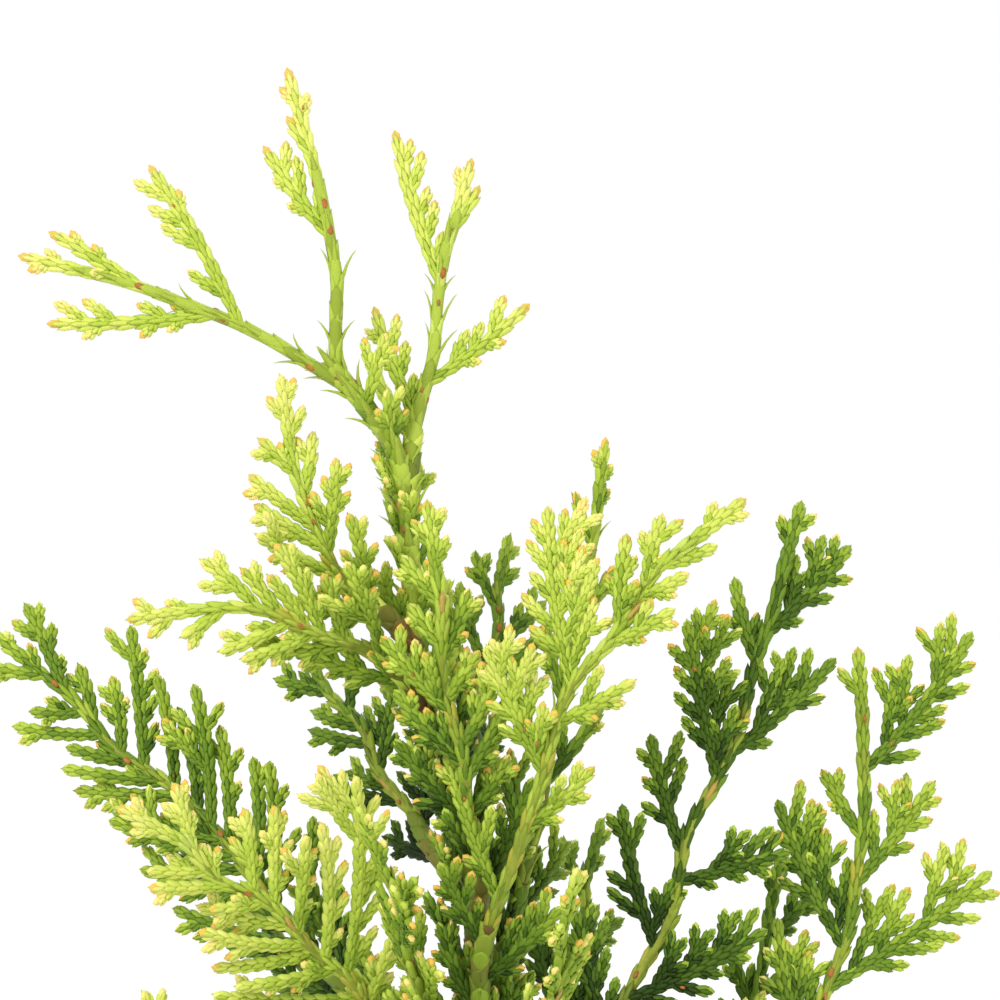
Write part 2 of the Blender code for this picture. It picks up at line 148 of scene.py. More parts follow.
# Boughs of the lower crown, from the lowest to the highest
LOW_COUNT, LOW_FIRST_AZIMUTH, GOLDEN_ANGLE = 9, 20, 137.508
LOW_HEIGHTS, LOW_REACH, LOW_GAIN = (13, 57), (60, 54), (38, 40)
LOW_SWING, LOW_KNEE_REACH, LOW_KNEE_RISE = 8, 0.62, 0.22
LOW_BARE, LOW_FACE = 0.22, 62
LOW_LONGEST, LOW_SPRAYS, LOW_SPREAD = 20, 6, 43
LOW_GREENS = (4.2, 5.2, 3.8)

# The leading shoots have long internodes, awl leaves and few twiglets
LEADING = ("leader", "left_shoot", "second_shoot", "centre_behind")

# Side sprays placed one by one on them and on the boughs that show best: share of the stem, side,
# angle, tilt and length in millimetres
PLACED_SPRAYS = {
    "leader": ((0.46, -1, 34, 6, 11.0), (0.74, -1, 24, -16, 3.6)),
    "left_shoot": ((0.42, 1, 43, 8, 19.0), (0.50, -1, 30, -6, 17.0), (0.70, 1, 16, 10, 10.5)),
    "second_shoot": ((0.19, -1, 44, 4, 9.0), (0.25, -1, 36, 12, 12.8), (0.36, 1, 50, -8, 13.2),
                     (0.66, -1, 34, 6, 16.8), (0.82, 1, 22, -14, 4.4)),
    "centre_front": ((0.30, -1, 37, 11, 16.7), (0.40, 1, 40, 1, 9.5), (0.48, -1, 46, -5, 15.0),
                     (0.55, 1, 40, 2, 9.5), (0.61, -1, 42, 6, 19.0), (0.70, 1, 36, 2, 7.5),
                     (0.73, -1, 38, 13, 9.5), (0.81, -1, 34, -6, 7.5), (0.86, 1, 32, 4, 5.5)),
    "right_inner": ((0.38, -1, 43, -8, 14.0), (0.43, 1, 45, 12, 17.0), (0.50, -1, 46, -7, 16.0),
                    (0.58, 1, 56, 0, 12.0), (0.61, -1, 42, 5, 13.0),
                    (0.70, -1, 33, -13, 17.5), (0.73, 1, 36, -2, 15.0), (0.83, -1, 40, 11, 9.0),
                    (0.86, 1, 34, -9, 13.0)),
    "right_outer": ((0.42, -1, 42, -13, 18.2), (0.49, 1, 40, 11, 16.9), (0.56, -1, 42, 0, 15.1),
                    (0.64, 1, 44, -10, 22.0), (0.69, -1, 46, -12, 17.5), (0.76, 1, 34, -6, 14.0),
                    (0.81, -1, 40, 13, 8.0), (0.88, 1, 46, 2, 19.0)),
    "far_left": ((0.36, -1, 43, -2, 15.9), (0.43, 1, 43, -5, 15.8), (0.52, -1, 37, -10, 14.3),
                 (0.58, 1, 48, 10, 15.5), (0.64, -1, 43, 3, 12.5), (0.71, 1, 44, 3, 15.5),
                 (0.79, -1, 46, 3, 10.0), (0.87, 1, 28, 0, 10.5), (0.91, -1, 38, -9, 6.0)),
    "left_front": ((0.34, -1, 47, 5, 15.9), (0.44, 1, 47, 1, 23.0), (0.54, -1, 42, -13, 13.0),
                   (0.64, 1, 48, -4, 10.5), (0.74, -1, 39, 9, 8.7), (0.85, 1, 42, -10, 7.2)),
}

# The rule of the side sprays, as in the solids
FIRST_SPRAY, SPRAY_CLEAR, SPRAY_SHIFT = 4 * MM, 2.2 * MM, 0.6 * MM
SPRAY_STRAY, SPRAY_TILT = 6, 14
SPRAY_TAPER, SPRAY_TAPER_POWER = 0.52, 1.4
SPRAY_LENGTHS, SPRAY_SHORTEST = (0.82, 1.08), 5 * MM
SPRAY_TIP, LEADER_TIP = 8 * MM, 12 * MM

# How sprays lean on towards the stem's tip and off its flat, and how far they pale
SPRAY_LEANS, SPRAY_OFF, LEADING_LEAN = (0.1, 0.8), 0.3, 0.4
SPRAY_DEEPER, SPRAY_LIGHTENS, SPRAY_GREEN_STRAY = 1.5, 1.0, 0.5
SPRAY_PALES = (1.5, 2.3)
TIP_DEEPER, TIP_PALES = 0.3, 1.8

# The rule carried on: shorter sprays between the main ones, and what share of them is kept
BETWEEN = (1 / 4, 1 / 2, 3 / 4)
BETWEEN_LENGTHS, BETWEEN_STRAY, LOW_TILT = (0.55, 0.95), (-9, 7), 55
BETWEEN_KEPT = {"centre_front": 0.2, "right_inner": 0.0, "right_back": 0.0, "right_outer": 0.0,
                "right_low": 0.1, "back_left": 0.4, "back_right": 0.2, "left_dark": 0.3}
BETWEEN_KEPT_ELSEWHERE = 1.0

# Short sprays on the older part of a bough, and close round the trunk by height above the soil
BOUGH_SPRAY_CLEAR, BOUGH_SPRAY_PITCH, BOUGH_SPRAY_ROOM = 2.5 * MM, 3.3 * MM, 2 * MM
BOUGH_SPRAY_SHIFT = 0.6
BOUGH_SPRAY_ANGLES, BOUGH_SPRAY_TILT = (30, 44), 40
BOUGH_SPRAY_LENGTHS, BOUGH_SPRAY_DEEPER = (8, 15), 0.6
TRUNK_SPRAYS, TRUNK_SPRAY_HEIGHTS = 92, (12, 174)
TRUNK_SPRAY_LENGTHS = ((92, (16, 30)), (140, (9, 17)), (math.inf, (4, 8)))
TRUNK_SPRAY_AZIMUTH, TRUNK_SPRAY_ANGLES = 35, (20, 38)
TRUNK_SPRAY_TURNS, TRUNK_SPRAY_LEAN = (0.2, 1.2), 0.3
# Trunk sprays are deep green low down and pale above a height: older inner growth, with painted
# shade of the crown's inside
TRUNK_SPRAY_GREEN, TRUNK_SPRAY_GREEN_STRAY = 5.6, 0.6
TRUNK_SPRAY_PALES_FROM, TRUNK_SPRAY_PALING = 60, 0.014

# Twiglets on both sides of a spray, and how much room each needs
TWIGLET_PITCH, LEADING_TWIGLET_PITCH = 1.6 * MM, 1.5 * MM
FIRST_TWIGLET, FIRST_WITHIN, LAST_TWIGLET = 1.8 * MM, 0.3, 0.9
TWIGLETS_MISSING, TWIGLET_SHIFT = 0.1, 0.015
TWIGLET_SHARE, TWIGLET_TAPER, LOWEST_SIZE = 0.40, 0.42, 0.8
TWIGLET_LENGTHS = (0.74, 1.18)
TWIGLET_SHORTEST, SHORTEST_GROWN = 2.3 * MM, 1.4 * MM
LEADING_TWIGLETS, LEADING_UPPER_TWIGLETS = (1.2, 2.2), (2.6, 4.4)
UPPER_SIDE, LOWER_SIDE = 1.30, 0.66
TWIGLET_ANGLES, TWIGLET_TILT = (35, 47), 13
TWIGLET_LEANS, TWIGLET_OFF = (0.15, 0.80), 0.15
TWIGLET_DEEPER, TWIGLET_PALES, PALING_POWER = 0.7, (2.4, 3.4), 1.3
TWIGLET_FORKS = 5.6 * MM
FORKS, FORK_LENGTHS = ((0.34, -1), (0.56, 1)), (0.34, 0.48)
TRIES, SPRAY_TRIES = (1.0, 0.62), (1.0, 0.7)
CLEARANCE, AXIS_CLEARANCE, SAMPLE_PITCH = 1.55 * MM, 1.6 * MM, 1.2 * MM

# From which share of its length a twig has to be clear of others, and then takes up room itself; a
# stem takes it up from this far off the trunk
TWIGLET_CLEAR_FROM, FORK_CLEAR_FROM, SPRAY_CLEAR_FROM = 0.5, 0.6, 0.35
TWIGLET_ROOM_FROM, FORK_ROOM_FROM, SPRAY_ROOM_FROM = 0.35, 0.5, 0.25
STEM_ROOM_FROM, STEM_SAMPLES = 0.5 * MM, 80

# Scale leaves by the order of the twig: pitch, width and depth; then how they swell along it
SCALES = {
    1: (2.00 * MM, 1.34 * MM, 1.14 * MM),
    2: (1.50 * MM, 1.36 * MM, 1.04 * MM),
    3: (1.24 * MM, 1.22 * MM, 0.94 * MM),
    4: (1.14 * MM, 1.14 * MM, 0.88 * MM),
}
SWELL_LEAST, SWELL_GAIN, SWELL_FROM, SWELL_RUN = 0.86, 0.24, 0.08, 0.75
SWELL_STRAY, SWELL_LAST = (0.95, 1.05), 0.88
SCALES_FROM, SCALES_WITHIN = 0.35 * MM, 0.2

# Rounded tips of the twigs, and russet spots: their shape, the share of leaves that bear one, how
# far out and along the leaf they sit, and their lengths in millimetres
TIP_LENGTH, LEADING_TIP_LENGTH, TIP_BACK = 1.45 * MM, 2.0 * MM, 0.6
TIP_WIDTHS, TIP_SHAPE = (0.84, 0.98), (0.84, 0.64)
SPOT_WIDTH, SPOT_DEPTH = 0.6, 0.4 * MM
TWIG_SPOTS, STEM_SPOTS, LEADING_SPOTS = 0.01, 0.16, 0.5
TWIG_SPOT_OUT, STEM_SPOT_OUT, LEADING_SPOT_OUT = 0.42, 0.43, 0.46
STEM_SPOT_ALONG, LEADING_SPOT_ALONG = 0.6, (0.2, 0.8)
TWIG_SPOT_SIZES, STEM_SPOT_SIZES, LEADING_SPOT_SIZES = (0.4, 0.7), (0.6, 1.1), (0.6, 1.3)

# Longer leaves on the green stems, old ones on young bark, and awls on the leading shoots
STEM_PITCH, LEADING_PITCH, OLD_PITCH = 2.4 * MM, 3.4 * MM, 2.2 * MM
STEM_WIDTH, STEM_FLAT, WIDTH_STRAY = 1.40 * MM, 0.86, (0.96, 1.04)
STEM_SLIMMER, TRUNK_SLIMMER, STEM_COVER = 0.84, 0.86, 2.0
LEADING_WIDTH, OLD_WIDTHS, OLD_LONG = STEM_WIDTH * 0.9, (1.0, 1.1), 1.15
AWLS, AWL_LENGTHS, AWL_ALONG, AWL_WIDTH = 0.55, (1.6, 3.6), 0.86, 0.92
PIECE_LIMIT = 190000

# How finely the stems, the trunk and the boughs are drawn, the relief of their bark, and the share
# of the trunk's radius from which a bough's starts
STEM_STEPS, STEM_SIDES, STEM_LEAF_STEPS, OLD_LEAF_STEPS = 30, 8, 120, 90
TRUNK_LEAF_STEP, TRUNK_STEM_EACH = 0.4 * MM, 4
BARK_STEP, BARK_SIDES, BARK_RELIEF = 0.45 * MM, 40, 0.34 * MM
BOUGH_STEPS, BOUGH_SIDES, BOUGH_RELIEF, BOUGH_SUNK = 48, 12, 0.2 * MM, 0.4

# Greens from the palest young tip to the deepest shade, those of the stems, and other tints; the
# palest greens and the gold are their own pale young colour, whitened a little as painted sheen
GREENS = {
    "gold": (240, 218, 124),
    "lemon": (222, 226, 118),
    "lime": (202, 214, 94),
    "fresh": (175, 196, 70),
    "leaf": (142, 168, 50),
    "mid": (106, 136, 36),
    "dark": (70, 98, 20),
    "deep": (42, 66, 8),
    "shade": (26, 45, 5),
}
SHOOT_GREENS = {
    "pale_shoot": (190, 207, 94),
    "shoot": (166, 186, 66),
    "olive_shoot": (142, 160, 52),
    "dull_shoot": (112, 128, 42),
}
TINTS = {
    "amber": (232, 188, 84),
    "tan": (186, 158, 80),
    "straw": (172, 168, 60),
    "olive": (118, 116, 46),
    "umber": (122, 102, 48),
    "brown": (124, 88, 48),
}
OLD_LEAVES = ("olive_shoot", "dull_shoot", "olive", "umber", "brown")

# Which greens fall where, as depths in those rows: old leaves, tips, the pairs of one joint, and
# the deeper ones close round the trunk: older inner leaves, deepened further as painted shade of
# the crown's inside
OLDEST, STILL_GREEN, AGE_STRAY = 3.2, 1.6, 0.8
PALE_TIPS, TIP_LIGHTER, AMBER_TIPS, GOLD_TIPS = 3.2, 0.6, 0.42, 0.5
GREEN_STRAY, SIDE_LIGHTER, FACE_DEEPER = 0.3, 0.1, 0.2
INNER_REACH, INNER_SHADE = 17 * MM, 1.5
LEAF_ROUGHNESS, LEAF_GLOSS = 0.52, 0.2

# The longer leaves: a stem's depths from those of its twigs, with the scales, straws and tans that
# show among them; the leading shoots', each second pair deeper as painted shade between the
# leaves; those of the green trunk
STEM_GREEN_FROM, STEM_GREEN_SHARE, STEM_GREEN_FOOT, STEM_GREEN_STRAY = 1.6, 0.45, 0.9, 0.5
STEM_SCALES, STEM_SCALES_DEEPER, STEM_FACE_DEEPER = 0.8, 1.3, 0.5
STEM_STRAWS, STEM_TANS = 0.5, 0.08
LEADING_GREEN_SHARE, LEADING_GREEN_FOOT, LEADING_GREEN_STRAY = 0.5, 0.5, 0.5
LEADING_PALES, SECOND_PAIR_PAINTED_SHADE, LEADING_TANS = 1.3, 0.7, 0.02
TRUNK_GREEN, TRUNK_TWIG_GREENS, TRUNK_DEEPER = 3.0, 0.5, (-0.2, 2.2)

# Old leaves: how they thin out towards the foot, the green ones among them, and, for each kind of
# limb, what share is kept at the foot and how old the oldest are
OLD_KEPT_GAIN, OLD_GREENS, OLD_DEEPER, TRUNK_OLD_GREEN = 1.3, 0.4, (0.2, 1.4), 4.6
OLD_ON_LEADING, OLD_ON_BOUGHS, OLD_ON_TRUNK = (1.0, 1.1), (0.6, OLDEST), (0.25, OLDEST)

# Mottled finishes: two colours, scale and contrast of the mottling, depth of its bump, roughness,
# gloss and stretch
CRUMB_LOOK = (900.0, 2.6, 0.0002, 0.92, 0.2, 1.0)
FINISHES = {
    "green stem": ((118, 134, 46), (160, 168, 64), 700.0, 2.2, 0.0002, 0.55, 0.14, 1.0),
    "russet spot": ((150, 92, 46), (190, 122, 64), 900.0, 2.4, 0.0001, 0.6, 0.2, 1.0),
    "flaking bark": ((66, 42, 30), (150, 108, 76), 760.0, 3.2, 0.0005, 0.85, 0.2, 0.14),
    "young bark": ((112, 104, 44), (96, 62, 38), 620.0, 3.0, 0.0004, 0.75, 0.25, 1.0),
    "moulded plastic": ((24, 25, 25), (36, 37, 36), 900.0, 1.4, 0.00005, 0.38, 0.42, 1.0),
    "potting mix": ((22, 16, 12), (58, 42, 31), 900.0, 2.4, 0.0008, 0.95, 0.15, 1.0),
    "dark crumbs": ((26, 18, 13), (62, 44, 32), *CRUMB_LOOK),
    "bark chips": ((58, 38, 26), (108, 74, 50), *CRUMB_LOOK),
    "fibres": ((88, 62, 42), (142, 108, 76), *CRUMB_LOOK),
    "pale grains": ((190, 186, 176), (228, 226, 220), *CRUMB_LOOK),
}
BUMP_STRENGTH = 0.7

# Pot: radii of its wall at the foot and at the top, thicknesses, rim band, then its fine rings as
# height and how proud they stand, and a ring's section as rise and share of that
POT_FOOT, POT_WALL_TOP = 32 * MM, 43 * MM
POT_WALL, POT_FLOOR, POT_BAND = 1.6 * MM, 2.0 * MM, 9 * MM
POT_RINGS = ((52, 0.5), (49, 0.5), (14, 0.35))
RING_SECTION = ((1.0, 0.0), (0.6, 0.04), (0.3, 0.8), (0.0, 1.0), (-0.3, 0.8), (-0.6, 0.04),
                (-1.0, 0.0))
POT_STEPS, SHARP_FROM = 96, 38
DRAINS, DRAIN_RADIUS, DRAINS_OUT = 5, 3.5 * MM, 23 * MM
DRAIN_STEPS, DRAIN_DEPTH = 24, 12 * MM

# Potting mix: its grid, how far it rolls, roughens and falls towards the pot's wall, how fine its
# grain and its waves are, and the level ring round the trunk
SOIL_RINGS, SOIL_STEPS = 26, 96
SOIL_ROUGH, SOIL_ROLL, SOIL_FALL = 1.0, 0.8, 1.4
SOIL_GRAIN, SOIL_FRACTAL, SOIL_WAVES = 130, (0.8, 2.1, 4), 60
SOIL_LEVEL_TO, SOIL_FADES_OVER = 3.5 * MM, 8 * MM
SOIL_BELOW, SOIL_FOOT = 0.1 * MM, 0.78

# Crumbs: where they begin and end, the ring in which a share of them is heaped round the trunk,
# how they tilt, how small most are, and how high they lie
CRUMB_CELL, CRUMBS_FROM, HEAP = 2 * MM, 3.6 * MM, (2.9 * MM, 5.0 * MM)
CRUMBS_CLEAR, CRUMB_TILT, CRUMB_TURN, CRUMB_POWER, CRUMB_RISE = 1.5 * MM, 0.3, 0.5, 1.8, 0.1
CRUMB_WIDTHS, CRUMB_DEPTHS = (0.55, 0.95), (0.7, 1.0)

# Camera: the photograph takes in 110 mm of the crown's top from nearly level
PHOTO_WIDTH, PHOTO_ELEVATION, PHOTO_CENTRE_X = 110 * MM, 0.5, 5.5 * MM
TIP_BELOW_TOP = 8.8 * MM
CAMERA_DISTANCE, SENSOR_WIDTH = 0.6, 36.0

# Lights: where they aim; name, place, size and power
LIT_SPOT = Vector((0.0, 0.0, 0.2))
LAMPS = (
    ("key", (-0.5, -0.8, 0.95), 0.6, 10.0),
    ("fill", (0.9, -0.5, 0.5), 0.8, 2.5),
    ("back", (0.3, 0.9, 0.8), 0.7, 5.0),
)
SOFT_LIGHT, FLOOR_GLOW, FLOOR_RADIUS, FLOOR_STEPS = 0.6, 0.5, 6.0, 96


class Rule(random.Random):
    """Seeded draws, so that each run grows the same plant."""

    def stray(self, size):
        """A draw of up to this size to either side of nought."""
        return self.uniform(-size, size)

    def within(self, ends):
        """A draw between two ends."""
        return self.uniform(*ends)

    def chance(self, share):
        """Whether a draw falls within this share."""
        return self.random() < share


def spaced(first, last, count):
    """Evenly spaced values from first to last."""
    return [first + (last - first) * index / (count - 1) for index in range(count)]


def round_turns(count):
    """Even turns once round, in radians."""
    return spaced(0.0, 2 * math.pi, count + 1)[:-1]


def part_way(low, high, share):
    """What lies at a share of the way from low to high."""
    return low + (high - low) * share


def pick(kinds, depth):
    """The kind at a depth in a row of kinds, held to its two ends."""
    return tuple(kinds)[max(0, min(len(kinds) - 1, round(depth)))]


def heading(azimuth):
    """Level direction at an azimuth in degrees."""
    turn = math.radians(azimuth)
    return Vector((math.cos(turn), math.sin(turn), 0.0))


def square_on(run, off):
    """The part of off that stands square on run, one unit long."""
    return (off - run * off.dot(run)).normalized()


def branching(frame, angle, tilt, side):
    """Direction at an angle to what a frame follows, to one side and tilted off its flat."""
    ahead, aside, off = frame
    out = (aside * math.cos(tilt) + off * math.sin(tilt)) * side
    return ahead * math.cos(angle) + out * math.sin(angle)


def trunk_line():
    """Middle line of the trunk as points and radii, from the soil to its top."""
    foot, *bends = [Vector((x * MM, y * MM, GROUND + z * MM)) for z, x, y in TRUNK_BENDS]
    points = [foot, foot + UP * FLARE_HEIGHT / 2, foot + UP * FLARE_HEIGHT * 2, *bends]
    return points, [trunk_radius(point.z - GROUND) for point in points]


def trunk_radius(height):
    """Radius of the trunk at a height above the soil, with the flare at its foot."""
    climbed = height / (TRUNK_BENDS[-1][0] * MM)
    radius = part_way(TRUNK_FOOT_RADIUS, TRUNK_TOP_RADIUS, climbed)
    return radius + FLARE_RADIUS * math.exp(-height / FLARE_HEIGHT)


def fine_trunk(line, step):
    """Points, frames and radii of the trunk at short even steps."""
    points, _ = refined(*line, step)
    frames = frames_along(points, Vector((1.0, 0.0, 0.0)))
    return points, frames, [trunk_radius(max(0.0, point.z - GROUND)) for point in points]


def trunk_at(height, line):
    """Point on the trunk's middle line, and its radius, at a height above the soil."""
    points, radii = line
    level = GROUND + height
    for low, high, wide, thin in zip(points, points[1:], radii, radii[1:]):
        if low.z <= level <= high.z:
            share = (level - low.z) / (high.z - low.z)
            return low.lerp(high, share), part_way(wide, thin, share)
    return points[-1].copy(), radii[-1]


def refined(points, radii, step):
    """A line and its radii at short even steps, rounded at the bends."""
    spread, wide = [], []
    for index, (low, high) in enumerate(zip(points, points[1:])):
        before = points[index - 1] if index else low - (high - low)
        after = points[index + 2] if index + 2 < len(points) else high + (high - low)
        count = max(1, math.ceil((high - low).length / step))
        for share in (i / count for i in range(count)):
            spread.append((low * 2 + (high - before) * share
                           + (before * 2 - low * 5 + high * 4 - after) * share ** 2
                           + (low * 3 - before - high * 3 + after) * share ** 3) * 0.5)
            wide.append(part_way(radii[index], radii[index + 1], share))
    return spread + [points[-1]], wide + [radii[-1]]


def frames_along(points, side):
    """Direction, side and off-side at each point of a line, without twist."""
    frames = []
    for index in range(len(points)):
        high, low = points[min(index + 1, len(points) - 1)], points[max(index - 1, 0)]
        ahead = (high - low).normalized()
        side = square_on(ahead, side)
        frames.append((ahead, side, ahead.cross(side)))
    return frames


class Curve:
    """A smooth curve from its foot to its tip that sets out towards its bend."""

    def at(self, share):
        rest = 1.0 - share
        return self.foot * rest * rest + self.bend * 2 * rest * share + self.tip * share * share

    def along(self, share):
        """Direction at a share of the way."""
        out, home = self.bend - self.foot, self.tip - self.bend
        return (out * (1.0 - share) + home * share).normalized()


class Path(Curve):
    """Middle line of a bough: out from the trunk, round its knee and up to its tip."""

    def __init__(self, row, line):
        (self.name, height, azimuth, reach, gain, swing, knee_reach, knee_rise, self.bare,
         self.face, self.longest, self.count, self.spread, self.green) = row
        self.foot, self.foot_radius = trunk_at(height * MM, line)
        self.bend = self.foot + (heading(azimuth + swing) * knee_reach + UP * knee_rise) * MM
        self.tip = self.foot + (heading(azimuth) * reach + UP * gain) * MM
        self.phase = Rule(self.name + " sway").uniform(0, 90)
        self.leading = self.name in LEADING
        self.order = 1 if self.leading else 2
        run = [self.at(share) for share in spaced(0.0, 1.0, 25)]
        self.length = sum((high - low).length for low, high in zip(run, run[1:]))
        self.start = self.bare if self.bare else STEM_GAP / self.length
        self.tip_length = LEADER_TIP if self.name == "leader" else SPRAY_TIP
        self.last = 1.0 - self.tip_length / self.length

    def at(self, share):
        return super().at(share) + self.sway(share)

    def sway(self, share):
        """Small bends to and fro, none at the two ends."""
        ahead, aside, off = self.frame(share)
        walked = share * (self.tip - self.foot).length / SWAY_LENGTH
        size = (LEADING_SWAY if self.leading else SWAY) * min(1.0, share * 4, (1.0 - share) * 4)
        return (aside * noise.noise(Vector((walked, self.phase, 0.0)))
                + off * noise.noise(Vector((walked, self.phase, 9.0)))) * size

    def frame(self, share):
        """Direction along the path, to its side in the flat of the foliage, and off that flat."""
        ahead = self.along(share)
        aside = ahead.cross(heading(self.face)).normalized()
        return ahead, aside, aside.cross(ahead)

    def line(self, first, last, count):
        """Points, frames and radii of a length of the path."""
        shares = spaced(first, last, count)
        points = [self.at(share) for share in shares]
        frames = frames_along(points, self.frame(first)[1])
        return points, frames, [self.radius(share) for share in shares]

    def stem(self, count):
        """The same for the green stem, which is slimmer than its solid."""
        points, frames, radii = self.line(self.start, self.last, count)
        return points, frames, [radius * STEM_SLIMMER for radius in radii]

    def radius(self, share):
        """Radius of the bough and, from its bare part on, of the green stem."""
        if share < self.start:
            return BOUGH_FOOT_RADIUS + (STEM_FOOT_RADIUS - BOUGH_FOOT_RADIUS) * share / self.start
        climbed = (share - self.start) / (1.0 - self.start)
        return part_way(STEM_FOOT_RADIUS, STEM_TIP_RADIUS, climbed)


def low_rows():
    """Boughs of the lower crown, spaced by the golden angle from the soil up."""
    rows = []
    for index in range(LOW_COUNT):
        climbed = index / (LOW_COUNT - 1)
        height, reach, gain = (part_way(*ends, climbed)
                               for ends in (LOW_HEIGHTS, LOW_REACH, LOW_GAIN))
        azimuth = (LOW_FIRST_AZIMUTH + GOLDEN_ANGLE * index) % 360
        rows.append((f"low_{index + 1}", height, azimuth, reach, gain, LOW_SWING,
                     reach * LOW_KNEE_REACH, gain * LOW_KNEE_RISE, LOW_BARE, azimuth + LOW_FACE,
                     LOW_LONGEST, LOW_SPRAYS, LOW_SPREAD, LOW_GREENS[index % len(LOW_GREENS)]))
    return rows


class Twig(Curve):
    """A smooth twig: its curve, the normal of its flat, and its greens."""

    def __init__(self, foot, run, off, length, lean, greens, order):
        run = run.normalized()
        self.foot, self.length, self.greens, self.order = foot, length, greens, order
        self.bend = foot + run * length * 0.5
        self.tip = self.bend + (run + lean).normalized() * length * 0.5
        self.off = square_on(run, off)

    def frame(self, share):
        """Direction of the twig, to its side in the flat, and off the flat."""
        ahead = self.along(share)
        off = square_on(ahead, self.off)
        return ahead, off.cross(ahead), off

    def green(self, share):
        """Depth of the green at a share of the length; twigs pale towards their tips."""
        return part_way(*self.greens, share ** PALING_POWER)

    def samples(self, first):
        """Points along the twig from a share of its length on, for the rule of own space."""
        count = max(2, math.ceil(self.length * (1.0 - first) / SAMPLE_PITCH) + 1)
        return [self.at(share) for share in spaced(first, 1.0, count)]

    def cut_to(self, length):
        """A spray's axis that sets out like this twig."""
        run, end = self.bend - self.foot, self.tip - self.bend
        return Twig(self.foot, run, self.off, length, end.normalized() - run.normalized(),
                    self.greens, 2)


class Space:
    """Points of everything grown so far in small cells, for the rule of own space."""

    CELL = 1.7 * MM

    def __init__(self):
        self.cells = {}

    def cell(self, point):
        return tuple(math.floor(value / self.CELL) for value in point)

    def add(self, points, owner):
        for point in points:
            self.cells.setdefault(self.cell(point), []).append((point, owner))

    def clear(self, points, owners, clearance):
        """Whether these points keep their distance from all but the named owners' points."""
        for point in points:
            x, y, z = self.cell(point)
            for i, j, k in product((-1, 0, 1), repeat=3):
                for other, owner in self.cells.get((x + i, y + j, z + k), ()):
                    if owner not in owners and (other - point).length < clearance:
                        return False
        return True


class Spray:
    """A side spray: its axis, what carries it, and the way up that its longer twiglets take."""

    def __init__(self, key, parent, axis, leading, up):
        self.key, self.parent, self.axis, self.leading, self.up = key, parent, axis, leading, up

    def grow(self, space, rule):
        """Twiglets on both sides of the axis, each shortened or left out where it's crowded."""
        axis = self.axis
        grown = [axis]
        pitch = LEADING_TWIGLET_PITCH if self.leading else TWIGLET_PITCH
        first = min(FIRST_WITHIN, FIRST_TWIGLET / axis.length)
        reach = LAST_TWIGLET - first
        count = max(2, round(axis.length * reach / pitch))
        own = (self.key, self.parent)
        for index in range(count):
            if rule.chance(TWIGLETS_MISSING):
                continue
            climbed = index / count
            share = first + reach * climbed + rule.stray(TWIGLET_SHIFT)
            side = 1 if index % 2 else -1
            size = self.size(climbed, share, side, rule) * (LOWEST_SIZE if index == 0 else 1.0)
            for shrink in TRIES:
                twig = self.twiglet(axis, share, side, size * shrink, rule, 3)
                free = space.clear(twig.samples(TWIGLET_CLEAR_FROM), own, CLEARANCE)
                if free and size * shrink > SHORTEST_GROWN:
                    grown.append(twig)
                    space.add(twig.samples(TWIGLET_ROOM_FROM), self.key)
                    if twig.length > TWIGLET_FORKS:
                        grown += self.forks(twig, side, space, own, rule)
                    break
        return grown

    def size(self, climbed, share, side, rule):
        """Length of a twiglet: they shorten up the axis, and those on its upper side are longer."""
        upper = bool(self.up) and self.axis.frame(share)[1].dot(self.up) * side > 0.0
        if self.leading:
            return rule.within(LEADING_UPPER_TWIGLETS if upper else LEADING_TWIGLETS) * MM
        size = self.axis.length * TWIGLET_SHARE * (1.0 - TWIGLET_TAPER * climbed)
        if self.up:
            size *= UPPER_SIDE if upper else LOWER_SIDE
        return max(size * rule.within(TWIGLET_LENGTHS), TWIGLET_SHORTEST)

    def forks(self, twig, side, space, own, rule):
        """Small twiglets on a long one."""
        grown = []
        for share, turn in FORKS:
            size = twig.length * rule.within(FORK_LENGTHS)
            fork = self.twiglet(twig, share, turn * side, size, rule, 4)
            if space.clear(fork.samples(FORK_CLEAR_FROM), own, CLEARANCE):
                grown.append(fork)
                space.add(fork.samples(FORK_ROOM_FROM), self.key)
        return grown

    @staticmethod
    def twiglet(axis, share, side, size, rule, order):
        """One twiglet on an axis, which starts deeper green than it and pales to its tip."""
        ahead, _, off = frame = axis.frame(share)
        turn = math.radians(rule.within(TWIGLET_ANGLES))
        run = branching(frame, turn, math.radians(rule.stray(TWIGLET_TILT)), side)
        lean = ahead * rule.within(TWIGLET_LEANS) + off * rule.stray(TWIGLET_OFF)
        foot = axis.green(share) + TWIGLET_DEEPER
        greens = (foot, foot - rule.within(TWIGLET_PALES))
        return Twig(axis.at(share), run, off, size, lean, greens, order)


def main_sprays(path):
    """The side sprays of the mass's solid, placed one by one or by its rule: a row for each."""
    if path.name in PLACED_SPRAYS:
        return [(share, side, math.radians(angle), math.radians(tilt), length * MM)
                for share, side, angle, tilt, length in PLACED_SPRAYS[path.name]]
    rule = Rule(path.name)
    first = path.start + FIRST_SPRAY / path.length
    rows = []
    for index in range(path.count):
        climbed = index / (path.count - 1)
        share = first + (path.last - SPRAY_CLEAR / path.length - first) * climbed
        share += rule.uniform(-1, 1) * SPRAY_SHIFT / path.length
        angle = math.radians(path.spread + rule.stray(SPRAY_STRAY))
        tilt = math.radians(rule.stray(SPRAY_TILT))
        length = path.longest * MM * (1.0 - SPRAY_TAPER * climbed ** SPRAY_TAPER_POWER)
        length = max(length * rule.within(SPRAY_LENGTHS), SPRAY_SHORTEST)
        rows.append((share, 1 if index % 2 else -1, angle, tilt, length))
    return rows


